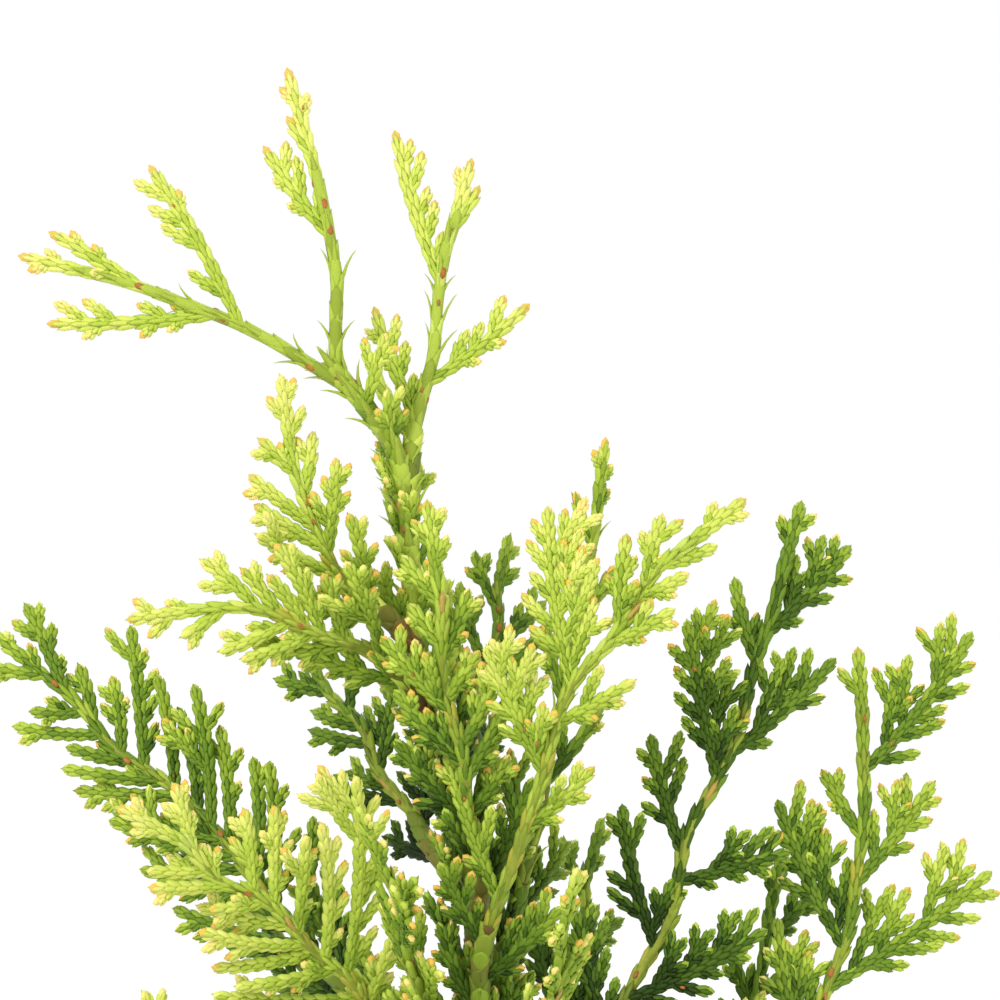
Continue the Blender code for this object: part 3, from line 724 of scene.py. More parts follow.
def between_sprays(path, rows):
    """Shorter sprays between the main ones; the sides go on alternating up the stem."""
    rule = Rule(path.name + " between")
    kept = BETWEEN_KEPT.get(path.name, BETWEEN_KEPT_ELSEWHERE)
    widest = LOW_TILT if path.name.startswith("low_") else SPRAY_TILT
    extra = []
    for (low, side, angle, _, long), (high, *_, short) in zip(rows, rows[1:]):
        for turn, way in enumerate(BETWEEN):
            if rule.random() > kept:
                continue
            length = part_way(long, short, way) * rule.within(BETWEEN_LENGTHS)
            extra.append((part_way(low, high, way), side if turn == 1 else -side,
                          angle + math.radians(rule.within(BETWEEN_STRAY)),
                          math.radians(rule.stray(widest)), max(length, SPRAY_SHORTEST)))
    return extra


def bough_sprays(path, rule):
    """Short sprays along the older part of a bough."""
    begin = (path.foot_radius + BOUGH_SPRAY_CLEAR) / path.length
    room = (path.start - begin) * path.length
    if room < BOUGH_SPRAY_ROOM:
        return
    count = max(1, round(room / BOUGH_SPRAY_PITCH))
    for index in range(count):
        share = begin + (path.start - begin) * (index + BOUGH_SPRAY_SHIFT) / count
        yield (share, 1 if index % 2 else -1, math.radians(rule.within(BOUGH_SPRAY_ANGLES)),
               math.radians(rule.stray(BOUGH_SPRAY_TILT)), rule.within(BOUGH_SPRAY_LENGTHS) * MM)


def axis_on(path, row, rule, green):
    """Axis of the side spray that a row gives on a path."""
    share, side, angle, tilt, length = row
    ahead, _, off = frame = path.frame(share)
    lean = ahead * rule.within(SPRAY_LEANS) + off * rule.stray(SPRAY_OFF)
    if path.leading:
        lean = ahead * LEADING_LEAN
    climbed = (share - path.start) / (1.0 - path.start)
    foot = green + SPRAY_DEEPER - SPRAY_LIGHTENS * climbed + rule.stray(SPRAY_GREEN_STRAY)
    return Twig(path.at(share), branching(frame, angle, tilt, side), off, length, lean,
                (foot, foot - rule.within(SPRAY_PALES)), path.order)


def trunk_axes(line):
    """Short sprays close round the trunk, which hide most of it."""
    rule = Rule("trunk sprays")
    for index, height in enumerate(spaced(*TRUNK_SPRAY_HEIGHTS, TRUNK_SPRAYS)):
        foot, radius = trunk_at(height * MM, line)
        azimuth = GOLDEN_ANGLE * index + TRUNK_SPRAY_AZIMUTH
        out, side = heading(azimuth), heading(azimuth + 90)
        angle = math.radians(rule.within(TRUNK_SPRAY_ANGLES))
        lengths = next(ends for top, ends in TRUNK_SPRAY_LENGTHS if height < top)
        length = rule.within(lengths) * MM
        turn = rule.within(TRUNK_SPRAY_TURNS) * rule.choice((-1, 1))
        face = side * math.sin(turn) + out * math.cos(turn)
        run = UP * math.cos(angle) + out * math.sin(angle)
        # Deeper low on the trunk, paler higher up: painted shade of the crown's inside over older
        # growth
        green = TRUNK_SPRAY_GREEN - TRUNK_SPRAY_PALING * max(0.0, height - TRUNK_SPRAY_PALES_FROM)
        green += rule.stray(TRUNK_SPRAY_GREEN_STRAY)
        yield Twig(foot + out * radius * 0.5, run, face, length, UP * TRUNK_SPRAY_LEAN,
                   (green, green - rule.within(SPRAY_PALES)), 2)


class Crown:
    """All the sprays of the plant; the main ones take their space first."""

    def __init__(self, paths, line):
        self.space, self.sprays = Space(), []
        self.rule = Rule("crown")
        self.space.add(refined(*line, 1 * MM)[0], "trunk")
        for path in paths:
            self.add_main(path)
        for path in paths:
            if not path.leading:
                for row in between_sprays(path, main_sprays(path)):
                    self.try_spray(axis_on(path, row, self.rule, path.green), path.name,
                                   path.along(row[0]))
            rule = Rule(path.name + " bough")
            for row in bough_sprays(path, rule):
                axis = axis_on(path, row, rule, path.green + BOUGH_SPRAY_DEEPER)
                self.try_spray(axis, path.name, path.along(path.start))
        for axis in trunk_axes(line):
            self.try_spray(axis, "trunk", UP)

    def add(self, parent, axis, leading, up):
        """Take in a spray and the space along its axis."""
        self.space.add(axis.samples(SPRAY_ROOM_FROM), len(self.sprays))
        self.sprays.append(Spray(len(self.sprays), parent, axis, leading, up))

    def add_main(self, path):
        """The main sprays of a path, and the one that it ends in."""
        begin = (path.foot_radius + STEM_ROOM_FROM) / path.length
        self.space.add([path.at(share) for share in spaced(begin, 1.0, STEM_SAMPLES)], path.name)
        for row in main_sprays(path):
            self.add(path.name, axis_on(path, row, self.rule, path.green), path.leading,
                     path.along(row[0]))
        foot = path.at(path.last)
        tip = Twig(foot, path.tip - foot, path.frame(path.last)[2], path.tip_length, UP * 0.0,
                   (path.green + TIP_DEEPER, path.green - TIP_PALES), path.order)
        self.add(path.name, tip, path.leading, None)

    def try_spray(self, axis, parent, up):
        """Take in a spray where there is room for it, if need be for a shorter one."""
        for shrink in SPRAY_TRIES:
            trial = axis.cut_to(axis.length * shrink)
            if self.space.clear(trial.samples(SPRAY_CLEAR_FROM), (parent,), AXIS_CLEARANCE):
                self.add(parent, trial, False, up)
                return

    def twigs(self):
        """Every twig of the plant."""
        return [twig for spray in self.sprays for twig in spray.grow(self.space, self.rule)]


class Leaves:
    """Places of one kind of leaf: where each stands, how it is turned and its size."""

    def __init__(self):
        self.spots, self.turns, self.sizes = [], [], []

    def add(self, spot, ahead, aside, size):
        """A leaf that points ahead, with its width along aside."""
        turn = Matrix((ahead, aside, ahead.cross(aside))).transposed().to_quaternion()
        self.spots.append(tuple(spot))
        self.turns.append(tuple(turn))
        self.sizes.append(size)


def joints(points, frames, radii, pitch):
    """Joints one pitch apart on a fine line: turn, place, frame, radius and share climbed."""
    turn, walked = 0, pitch
    for index in range(len(points) - 1):
        if walked >= pitch:
            yield turn, points[index], frames[index], radii[index], index / len(points)
            turn += 1
            walked -= pitch
        walked += (points[index + 1] - points[index]).length


def inner_shade(spot):
    """Painted shade inside the crown: the green deepens close round the trunk, below its own green
    part.
    """
    if spot.z > GROUND + GREEN_FROM * MM:
        return 0.0
    return max(0.0, 1.0 - math.hypot(spot.x, spot.y) / INNER_REACH) * INNER_SHADE


class Foliage(Rule):
    """All the leaves of the crown, sorted by kind and green as draws deal them out."""

    def __init__(self):
        super().__init__("leaves")
        self.sides, self.faces, self.tips, self.longs = {}, {}, {}, {}
        self.awls, self.spots = Leaves(), Leaves()

    @staticmethod
    def put(kinds, kind, *place):
        """Deal one leaf out to its kind."""
        kinds.setdefault(kind, Leaves()).add(*place)

    def scale(self, depth, *place):
        """The two side leaves and the two face leaves of one joint."""
        depth += self.stray(GREEN_STRAY)
        self.put(self.sides, pick(GREENS, depth - SIDE_LIGHTER), *place)
        self.put(self.faces, pick(GREENS, depth + FACE_DEEPER), *place)

    def spot(self, place, ahead, aside, out, sizes):
        """A small russet spot on the face of a twig or stem."""
        out = out * self.choice((-1, 1))
        across = aside * out.length * self.stray(0.5)
        long = self.within(sizes) * MM
        self.spots.add(place + out + across - ahead * long * 0.5, ahead, aside,
                       (long, long * SPOT_WIDTH, SPOT_DEPTH))

    def dress_twig(self, twig):
        """Joints from the foot of a twig to its rounded tip; the twig is stoutest near the tip."""
        pitch, width, thick = SCALES[twig.order]
        begin = 0.0 if twig.order < 3 else min(SCALES_WITHIN, SCALES_FROM / twig.length)
        count = max(2, round(twig.length * (1.0 - begin) / pitch))
        step = twig.length * (1.0 - begin) / count
        for index in range(count):
            share = begin + (1.0 - begin) * index / count
            turn = math.pi * min(1.0, share * SWELL_RUN + SWELL_FROM)
            swell = SWELL_LEAST + SWELL_GAIN * math.sin(turn)
            swell *= self.within(SWELL_STRAY)
            if index == count - 1:
                swell *= SWELL_LAST
            ahead, aside, off = twig.frame(share)
            spot = twig.at(share)
            # The twig's own green, deepened round the trunk by painted shade
            self.scale(twig.green(share) + inner_shade(spot), spot, ahead, aside,
                       (step, width * swell, thick * swell))
            if self.chance(TWIG_SPOTS):
                self.spot(spot, ahead, aside, off * thick * TWIG_SPOT_OUT, TWIG_SPOT_SIZES)
        self.dress_tip(twig, width)

    def dress_tip(self, twig, width):
        """The rounded tip of a twig, amber or gold on many pale ones."""
        depth = twig.green(1.0)
        kind = pick(GREENS, depth - TIP_LIGHTER)
        if twig.order == 1 or (depth < PALE_TIPS and self.chance(AMBER_TIPS)):
            kind = "amber"
        elif depth < PALE_TIPS and self.chance(GOLD_TIPS):
            kind = "gold"
        ahead, aside, _ = twig.frame(1.0)
        wide = self.within(TIP_WIDTHS) * width
        long = LEADING_TIP_LENGTH if twig.order == 1 else TIP_LENGTH
        self.put(self.tips, kind, twig.at(1.0) - ahead * TIP_BACK * MM, ahead, aside,
                 (long, wide * TIP_SHAPE[0], wide * TIP_SHAPE[1]))

    def dress_stem(self, line, green):
        """Joints of longer leaves, yellower than the twigs, on the stem that carries the sprays."""
        for _, spot, (ahead, aside, off), radius, climbed in joints(*line, STEM_PITCH):
            wide = max(radius * STEM_COVER, STEM_WIDTH) * self.within(WIDTH_STRAY)
            place = (spot, ahead, aside, (STEM_PITCH, wide, wide * STEM_FLAT))
            depth = ((green - STEM_GREEN_FROM) * STEM_GREEN_SHARE + STEM_GREEN_FOOT - climbed
                     + self.stray(STEM_GREEN_STRAY))
            if self.chance(climbed * STEM_SCALES):
                self.scale(green + STEM_SCALES_DEEPER - STEM_SCALES_DEEPER * climbed, *place)
            else:
                straw = self.chance(STEM_STRAWS - climbed * STEM_STRAWS)
                tan = self.chance(STEM_TANS)
                self.put(self.sides, "straw" if straw else pick(SHOOT_GREENS, depth), *place)
                self.put(self.faces,
                         "tan" if tan else pick(SHOOT_GREENS, depth + STEM_FACE_DEEPER), *place)
            if self.chance(STEM_SPOTS):
                self.spot(spot + ahead * STEM_PITCH * STEM_SPOT_ALONG, ahead, aside,
                          off * wide * STEM_SPOT_OUT, STEM_SPOT_SIZES)

    def dress_bough(self, line, green, kept, oldest):
        """Old leaves in crossed pairs; they brown and drop towards the foot of what bears them."""
        for turn, spot, (ahead, aside, off), radius, climbed in joints(*line, OLD_PITCH / 2):
            if self.random() > kept + (1.0 - kept) * climbed * OLD_KEPT_GAIN:
                continue
            age = (1.0 - climbed) * oldest + self.stray(AGE_STRAY)
            if age < STILL_GREEN and self.chance(OLD_GREENS):
                kind = pick(GREENS, green + self.within(OLD_DEEPER))
            else:
                kind = pick(OLD_LEAVES, age)
            wide = radius * STEM_COVER * self.within(OLD_WIDTHS)
            self.put(self.longs, kind, spot, ahead, off if turn % 2 else aside,
                     (OLD_PITCH * OLD_LONG, wide, wide))

    def dress_leading(self, line, green, pitch=LEADING_PITCH):
        """Long leaves pressed to a leading shoot in crossed pairs that end in awls."""
        for turn, spot, (ahead, aside, off), radius, climbed in joints(*line, pitch / 2):
            if turn % 2:
                aside, off = off, -aside
            wide = max(radius * STEM_COVER, LEADING_WIDTH) * self.within(WIDTH_STRAY)
            # Each second pair is deeper green: painted shade between the leaves
            depth = (green * LEADING_GREEN_SHARE + LEADING_GREEN_FOOT - LEADING_PALES * climbed
                     + self.stray(LEADING_GREEN_STRAY) + SECOND_PAIR_PAINTED_SHADE * (turn % 2))
            kind = "tan" if self.chance(LEADING_TANS) else pick(SHOOT_GREENS, depth)
            if pitch < LEADING_PITCH and self.chance(TRUNK_TWIG_GREENS):
                kind = pick(GREENS, green + self.within(TRUNK_DEEPER))
            self.put(self.longs, kind, spot, ahead, aside, (pitch, wide, wide))
            if self.chance(LEADING_SPOTS):
                self.spot(spot + ahead * pitch * self.within(LEADING_SPOT_ALONG), ahead, aside,
                          off * wide * LEADING_SPOT_OUT, LEADING_SPOT_SIZES)
            if self.chance(AWLS):
                long = self.within(AWL_LENGTHS) * MM
                self.awls.add(spot + ahead * pitch * AWL_ALONG, ahead, aside,
                              (long, wide * AWL_WIDTH, wide * AWL_WIDTH))


def mesh_of(name, shape):
    """Mesh of a shape, which ends the shape."""
    mesh = bpy.data.meshes.new(name)
    shape.to_mesh(mesh)
    shape.free()
    return mesh


def spindle(shape, base, rings, tip):
    """A closed slim leaf: one point, rings of points round it, and one point."""
    first = shape.verts.new(base)
    last = shape.verts.new(tip)
    loops = [[shape.verts.new(point) for point in ring] for ring in rings]
    sides = len(loops[0])
    for i in range(sides):
        j = (i + 1) % sides
        shape.faces.new((first, loops[0][j], loops[0][i]))
        shape.faces.new((last, loops[-1][i], loops[-1][j]))
        for low, high in zip(loops, loops[1:]):
            shape.faces.new((low[i], low[j], high[j], high[i]))


def pattern(name, shape, smooth=True):
    """Mesh object of a small shape with its faces outwards; it isn't a piece itself."""
    bmesh.ops.recalc_face_normals(shape, faces=shape.faces)
    bmesh.ops.triangulate(shape, faces=shape.faces)
    mesh = mesh_of(name, shape)
    if smooth:
        mesh.shade_smooth()
    return bpy.data.objects.new(name, mesh)


def leaf_pair(name, across, base, rings, tip):
    """A leaf and its mirror image, across the axis with this number."""
    shape = bmesh.new()
    for side in (1, -1):
        def placed(point):
            return [value * side if axis == across else value for axis, value in enumerate(point)]
        spindle(shape, placed(base), [[placed(point) for point in ring] for ring in rings],
                placed(tip))
    return pattern(name, shape)


def side_leaf_pattern():
    """The pair of leaves folded round a twig's edges, one unit long and wide, with free tips."""
    rings = [((x - 0.05, outer, 0.0), (x, outer - 0.16, high), (x, 0.05, high * 0.86),
              (x, 0.05, -high * 0.86), (x, outer - 0.16, -high))
             for x, outer, high in ((0.12, 0.44, 0.36), (0.80, 0.60, 0.36))]
    return leaf_pair("side_leaves", 1, (-0.40, 0.22, 0.0), rings, (1.16, 0.51, 0.0))


def face_leaf_pattern():
    """The pair of flat leaves on a twig's two faces, half a joint further on than the side pair."""
    rings = [((x - 0.05, 0.5 * wide, edge), (x, 0.0, high), (x - 0.05, -0.5 * wide, edge))
             for x, wide, edge, high in ((0.60, 0.56, 0.27, 0.50), (1.14, 0.52, 0.33, 0.60))]
    return leaf_pair("face_leaves", 2, (0.04, 0.0, 0.26), rings, (1.56, 0.0, 0.54))


def long_leaf_pattern():
    """The pair of long leaves that wrap a leading shoot, one unit long and wide, pointed."""
    rings = []
    for x, radius, reach in ((0.02, 0.50, 89), (0.55, 0.53, 86), (0.90, 0.55, 46)):
        turns = [math.radians(turn) for turn in spaced(-reach, reach, 5)]
        rings.append([(x - 0.04 * abs(math.sin(turn)), radius * math.cos(turn),
                       radius * math.sin(turn)) for turn in turns] + [(x, 0.0, 0.0)])
    return leaf_pair("long_leaves", 1, (-0.26, 0.30, 0.0), rings, (1.10, 0.57, 0.0))


def awl_pattern():
    """Two opposite awl leaves that curve out from a stem to sharp points."""
    rings = [((x - 0.02, y + wide * 0.5, 0.0), (x, y, wide), (x + 0.02, y - wide * 0.5, 0.0),
              (x, y, -wide))
             for x, y, wide in ((0.10, 0.52, 0.30), (0.45, 0.78, 0.20), (0.78, 1.18, 0.10))]
    return leaf_pair("awl_leaves", 1, (-0.25, 0.36, 0.0), rings, (1.0, 1.58, 0.0))


def tip_pattern():
    """The blunt tip of a twig, one unit long and wide."""
    shape = bmesh.new()
    rings = [[(x, radius * math.cos(turn), radius * math.sin(turn)) for turn in round_turns(6)]
             for x, radius in ((0.14, 0.45), (0.72, 0.46))]
    spindle(shape, (-0.1, 0.0, 0.0), rings, (1.0, 0.0, 0.0))
    return pattern("twig_tip", shape)


def crumb_pattern():
    """One rough crumb of a few faces."""
    shape = bmesh.new()
    bmesh.ops.create_icosphere(shape, subdivisions=1, radius=0.5)
    for vertex in shape.verts:
        vertex.co *= 1.0 + 0.6 * noise.noise(vertex.co * 4.1)
    return pattern("crumb", shape, False)


def chip_pattern():
    """One flat splintered chip of bark, one unit long and wide."""
    shape = bmesh.new()
    outline = ((-0.50, -0.18), (-0.22, -0.42), (0.18, -0.34), (0.52, -0.10), (0.40, 0.24),
               (-0.06, 0.44), (-0.44, 0.22))
    low = [shape.verts.new((x * 0.9, y * 0.9, -0.3 + 0.2 * x * y)) for x, y in outline]
    high = [shape.verts.new((x, y, 0.22 + 0.35 * noise.noise(Vector((x * 4, y * 4, 0.0)))))
            for x, y in outline]
    shape.faces.new(low)
    shape.faces.new(high)
    for i in range(len(outline)):
        j = (i + 1) % len(outline)
        shape.faces.new((low[i], low[j], high[j], high[i]))
    return pattern("chip", shape, False)


def fibre_pattern():
    """One bent fibre, one unit long, thin at both ends."""
    shape = bmesh.new()
    rings = [((x, y + wide, z), (x, y, z + wide), (x, y - wide, z), (x, y, z - wide))
             for x, y, z, wide in ((-0.3, 0.08, 0.02, 0.04), (0.0, 0.14, 0.05, 0.05),
                                   (0.3, 0.06, 0.03, 0.04))]
    spindle(shape, (-0.5, 0.0, 0.0), rings, (0.5, -0.06, 0.0))
    return pattern("fibre", shape)


def node(tree, kind, values=(), **settings):
    """New node of a tree, with its settings and the values of its inputs."""
    made = tree.nodes.new(kind)
    for name, value in settings.items():
        setattr(made, name, value)
    for name, value in dict(values).items():
        made.inputs[name].default_value = value
    return made


def join(tree, *links):
    """Links in a tree, each from a node's output to a node's input."""
    for giver, output, taker, entry in links:
        tree.links.new(giver.outputs[output], taker.inputs[entry])


def sockets(tree, way, kinds):
    """Ways into or out of a group of nodes, by name and kind."""
    for name, kind in kinds.items():
        tree.interface.new_socket(name, in_out=way, socket_type="NodeSocket" + kind)


def standing_nodes():
    """Geometry Nodes tree that stands a leaf on every place and makes the leaves real."""
    tree = bpy.data.node_groups.new("stand leaves", "GeometryNodeTree")
    sockets(tree, "INPUT", {"Places": "Geometry", "Leaf": "Object", "Finish": "Material"})
    sockets(tree, "OUTPUT", {"Leaves": "Geometry"})
    given, result = node(tree, "NodeGroupInput"), node(tree, "NodeGroupOutput")
    leaf = node(tree, "GeometryNodeObjectInfo")
    turn = node(tree, "GeometryNodeInputNamedAttribute", {"Name": "turn"}, data_type="QUATERNION")
    size = node(tree, "GeometryNodeInputNamedAttribute", {"Name": "size"},
                data_type="FLOAT_VECTOR")
    copies = node(tree, "GeometryNodeInstanceOnPoints")
    real = node(tree, "GeometryNodeRealizeInstances")
    finish = node(tree, "GeometryNodeSetMaterial")
    join(tree,
         (given, "Places", copies, "Points"), (given, "Leaf", leaf, "Object"),
         (leaf, "Geometry", copies, "Instance"), (turn, "Attribute", copies, "Rotation"),
         (size, "Attribute", copies, "Scale"), (copies, "Instances", real, "Geometry"),
         (real, "Geometry", finish, "Geometry"), (given, "Finish", finish, "Material"),
         (finish, "Geometry", result, "Leaves"))
    return tree


def fill(values, name, rows):
    """Write rows of numbers into the values of a mesh."""
    values.foreach_set(name, np.array(rows, dtype=np.float32).ravel())


def stand(name, leaves, leaf, finish, tree, slot):
    """Joined pieces with the leaf at every place, each piece small enough to stay whole."""
    limit = PIECE_LIMIT // len(leaf.data.polygons)
    for part, begin in enumerate(range(0, len(leaves.spots), limit)):
        held = slice(begin, begin + limit)
        label = f"{name}_{part + 1}" if len(leaves.spots) > limit else name
        places = bpy.data.meshes.new(label)
        places.vertices.add(len(leaves.spots[held]))
        fill(places.vertices, "co", leaves.spots[held])
        for extra, kind, word, rows in (("turn", "QUATERNION", "value", leaves.turns),
                                        ("size", "FLOAT_VECTOR", "vector", leaves.sizes)):
            fill(places.attributes.new(extra, kind, "POINT").data, word, rows[held])
        carrier = linked(label + "_places", places)
        grow = carrier.modifiers.new("leaves", "NODES")
        grow.node_group = tree
        inputs = {item.name: item.identifier for item in tree.interface.items_tree
                  if item.in_out == "INPUT"}
        grow[inputs["Leaf"]] = leaf
        grow[inputs["Finish"]] = finish
        mesh = evaluated(carrier)
        for extra in ("turn", "size"):
            if extra in mesh.attributes:
                mesh.attributes.remove(mesh.attributes[extra])
        bpy.data.objects.remove(carrier, do_unlink=True)
        finish_piece(linked(label, mesh), slot)


def evaluated(made):
    """Mesh of an object with its modifiers applied."""
    graph = bpy.context.evaluated_depsgraph_get()
    return bpy.data.meshes.new_from_object(made.evaluated_get(graph))


def linked(name, mesh):
    """Object with this mesh, in the scene."""
    made = bpy.data.objects.new(name, mesh)
    bpy.context.scene.collection.objects.link(made)
    return made


def finish_piece(piece, slot, *nodes):
    """Ride with the plant and stand for the nodes it replaces; its slot is not used."""
    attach(piece, "root")
    if nodes:
        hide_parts(*nodes)


class Tubes:
    """Joined tubes along many middle lines, with an optional relief."""

    def __init__(self):
        self.points, self.faces = [], []

    def add(self, line, frames, radii, sides, relief=0.0):
        """Tube through the line's points, closed at both ends."""
        base = len(self.points)
        walked = 0.0
        for index, (point, (_, aside, off), radius) in enumerate(zip(line, frames, radii)):
            if index:
                walked += (point - line[index - 1]).length
            for corner in range(sides):
                turn = 2 * math.pi * corner / sides
                out = aside * math.cos(turn) + off * math.sin(turn)
                rise = relief * bark_height(turn, walked, radius) if relief else 0.0
                self.points.append(point + out * (radius + rise))
        for ring in range(len(line) - 1):
            low, high = base + ring * sides, base + (ring + 1) * sides
            for corner in range(sides):
                follow = (corner + 1) % sides
                self.faces.append((low + corner, low + follow, high + follow, high + corner))
        top = base + (len(line) - 1) * sides
        self.faces.append(tuple(base + corner for corner in reversed(range(sides))))
        self.faces.append(tuple(top + corner for corner in range(sides)))

    def piece(self, name, finish):
        """Object of all the tubes."""
        mesh = bpy.data.meshes.new(name)
        mesh.from_pydata([tuple(point) for point in self.points], [], self.faces)
        mesh.materials.append(finish)
        mesh.shade_smooth()
        return linked(name, mesh)


def bark_height(turn, walked, radius):
    """Relief of the bark: fibrous strips along the limb, split by cracks and broken by knots."""
    around = Vector((math.cos(turn), math.sin(turn), 0.0)) * radius * 2400
    strips = noise.noise(around + Vector((0.0, 0.0, walked * 90)))
    fine = noise.noise(around * 2.1 + Vector((4.0, 0.0, walked * 260)))
    crack = abs(noise.noise(around * 0.7 + Vector((0.0, 5.0, walked * 120))))
    knots = noise.noise(around * 0.4 + Vector((7.0, 3.0, walked * 330)))
    return 0.8 * strips + 0.3 * fine - max(0.0, 0.5 - 4.0 * crack) + 0.6 * max(0.0, knots - 0.2)


def linear(*colour):
    """Linear colour from the 0 to 255 values that a picture shows."""
    shares = [value / 255.0 for value in colour]
    return (*(share / 12.92 if share <= 0.04045 else ((share + 0.055) / 1.055) ** 2.4
              for share in shares), 1.0)


def material(name, roughness, gloss):
    """New material, with its tree of nodes and its shader."""
    made = bpy.data.materials.new(name)
    made.use_nodes = True
    shader = made.node_tree.nodes["Principled BSDF"]
    shader.inputs["Roughness"].default_value = roughness
    shader.inputs["Specular IOR Level"].default_value = gloss
    return made, made.node_tree, shader


def plain(name, colour, roughness, gloss=0.4):
    """Plain material of one colour, for what is dealt out piece by piece."""
    made, _, shader = material(name, roughness, gloss)
    shader.inputs["Base Color"].default_value = linear(*colour)
    return made


def mottle_group():
    """Shader group: soft mottling between two colours, and its height for bumps."""
    group = bpy.data.node_groups.new("mottling", "ShaderNodeTree")
    sockets(group, "INPUT", {"First": "Color", "Second": "Color", "Scale": "Float",
                             "Stretch": "Float", "Contrast": "Float"})
    sockets(group, "OUTPUT", {"Colour": "Color", "Height": "Float"})
    given, result = node(group, "NodeGroupInput"), node(group, "NodeGroupOutput")
    place = node(group, "ShaderNodeTexCoord")
    stretch = node(group, "ShaderNodeCombineXYZ", {"X": 1.0, "Y": 1.0})
    scaled = node(group, "ShaderNodeVectorMath", operation="MULTIPLY")
    cloud = node(group, "ShaderNodeTexNoise", {"Detail": 4.0})
    centre = node(group, "ShaderNodeMath", {1: 0.5}, operation="SUBTRACT")
    strong = node(group, "ShaderNodeMath", operation="MULTIPLY")
    back = node(group, "ShaderNodeMath", {1: 0.5}, operation="ADD", use_clamp=True)
    mix = node(group, "ShaderNodeMix", data_type="RGBA")
    join(group,
         (given, "Stretch", stretch, "Z"), (place, "Object", scaled, 0),
         (stretch, "Vector", scaled, 1), (scaled, "Vector", cloud, "Vector"),
         (given, "Scale", cloud, "Scale"), (cloud, "Fac", centre, 0),
         (centre, "Value", strong, 0), (given, "Contrast", strong, 1),
         (strong, "Value", back, 0), (back, "Value", mix, "Factor"),
         (given, "First", mix, "A"), (given, "Second", mix, "B"),
         (mix, "Result", result, "Colour"), (cloud, "Fac", result, "Height"))
    return group


def mottled(name, mottling):
    """Mottled material from the table of finishes, with a fine bump of the same pattern."""
    first, second, scale, contrast, bump, roughness, gloss, stretch = FINISHES[name]
    made, tree, shader = material(name, roughness, gloss)
    figure = node(tree, "ShaderNodeGroup",
                  {"First": linear(*first), "Second": linear(*second), "Scale": scale,
                   "Stretch": stretch, "Contrast": contrast}, node_tree=mottling)
    raised = node(tree, "ShaderNodeBump", {"Distance": bump, "Strength": BUMP_STRENGTH})
    join(tree, (figure, "Colour", shader, "Base Color"), (figure, "Height", raised, "Height"),
         (raised, "Normal", shader, "Normal"))
    return made


def turned_shape(profile, steps):
    """Closed turned shape of a profile that starts and ends on the axis."""
    shape = bmesh.new()
    loops = []
    for radius, height in profile:
        turns = round_turns(steps) if radius else [0.0]
        loops.append([shape.verts.new((radius * math.cos(turn), radius * math.sin(turn), height))
                      for turn in turns])
    for high, low in zip(loops, loops[1:]):
        for i in range(steps):
            j = (i + 1) % steps
            if len(high) == 1:
                shape.faces.new((high[0], low[i], low[j]))
            elif len(low) == 1:
                shape.faces.new((high[i], low[0], high[j]))
            else:
                shape.faces.new((high[i], low[i], low[j], high[j]))
    bmesh.ops.recalc_face_normals(shape, faces=shape.faces)
    return shape


def pot_profile():
    """Section of the pot from its floor inside, over the rim and down to its foot."""
    top = POT_HIGH[2]
    rim = (POT_HIGH[0] - POT_LOW[0]) / 2
    band = top - POT_BAND

    def side(height):
        return POT_FOOT + (POT_WALL_TOP - POT_FOOT) * height / top

    rows = [(0.0, POT_FLOOR), (POT_FOOT - POT_WALL - 2 * MM, POT_FLOOR),
            (POT_FOOT - POT_WALL, POT_FLOOR + 1.5 * MM)]
    rows += [(side(height) - POT_WALL, height) for height in spaced(8 * MM, top - 1.4 * MM, 6)]
    rows += [(side(top) - POT_WALL + 0.3 * MM, top - 0.5 * MM),
             (side(top) - POT_WALL + 0.9 * MM, top),
             (rim - 1.0 * MM, top),
             (rim - 0.3 * MM, top - 0.3 * MM),
             (rim, top - 1.0 * MM),
             (rim - 0.15 * MM, top - POT_BAND * 0.5),
             (rim - 0.35 * MM, band + 0.8 * MM),
             (rim - 0.9 * MM, band),
             (side(band) + 0.5 * MM, band - 0.1 * MM),
             (side(band - 0.9 * MM), band - 0.9 * MM)]
    for height, proud in POT_RINGS:
        for rise, out in RING_SECTION:
            level = height * MM + rise * MM
            rows.append((side(level) + out * proud * MM, level))
    rows += [(side(1.6 * MM), 1.6 * MM), (POT_FOOT - 0.3 * MM, 0.5 * MM),
             (POT_FOOT - 1.2 * MM, 0.0), (POT_FOOT - 4 * MM, 0.0),
             (POT_FOOT - 4.6 * MM, 0.5 * MM), (12 * MM, 0.5 * MM), (11.4 * MM, 0.0), (0.0, 0.0)]
    return rows


def make_pot(mottling):
    """Moulded nursery pot: rolled rim band, tapered wall with fine rings, drained foot."""
    pot = linked("nursery_pot", mesh_of("nursery_pot", turned_shape(pot_profile(), POT_STEPS)))
    drills = bpy.data.collections.new("drills")
    bpy.context.scene.collection.children.link(drills)
    for index in range(DRAINS):
        turn = 2 * math.pi * (index + 0.5) / DRAINS
        drill = bmesh.new()
        bmesh.ops.create_cone(drill, cap_ends=True, segments=DRAIN_STEPS, radius1=DRAIN_RADIUS,
                              radius2=DRAIN_RADIUS, depth=DRAIN_DEPTH)
        bmesh.ops.translate(drill, verts=drill.verts,
                            vec=(DRAINS_OUT * math.cos(turn), DRAINS_OUT * math.sin(turn), 0.0))
        drills.objects.link(bpy.data.objects.new("drill", mesh_of("drill", drill)))
    holes = pot.modifiers.new("holes", "BOOLEAN")
    holes.operand_type = "COLLECTION"
    holes.collection = drills
    holes.solver = "EXACT"
    mesh = evaluated(pot)
    pot.modifiers.remove(holes)
    pot.data = mesh
    for drill in list(drills.objects):
        bpy.data.objects.remove(drill, do_unlink=True)
    bpy.data.collections.remove(drills)
    mesh.materials.clear()
    mesh.materials.append(mottled("moulded plastic", mottling))
    mesh.shade_smooth()
    mesh.set_sharp_from_angle(angle=math.radians(SHARP_FROM))
    return pot


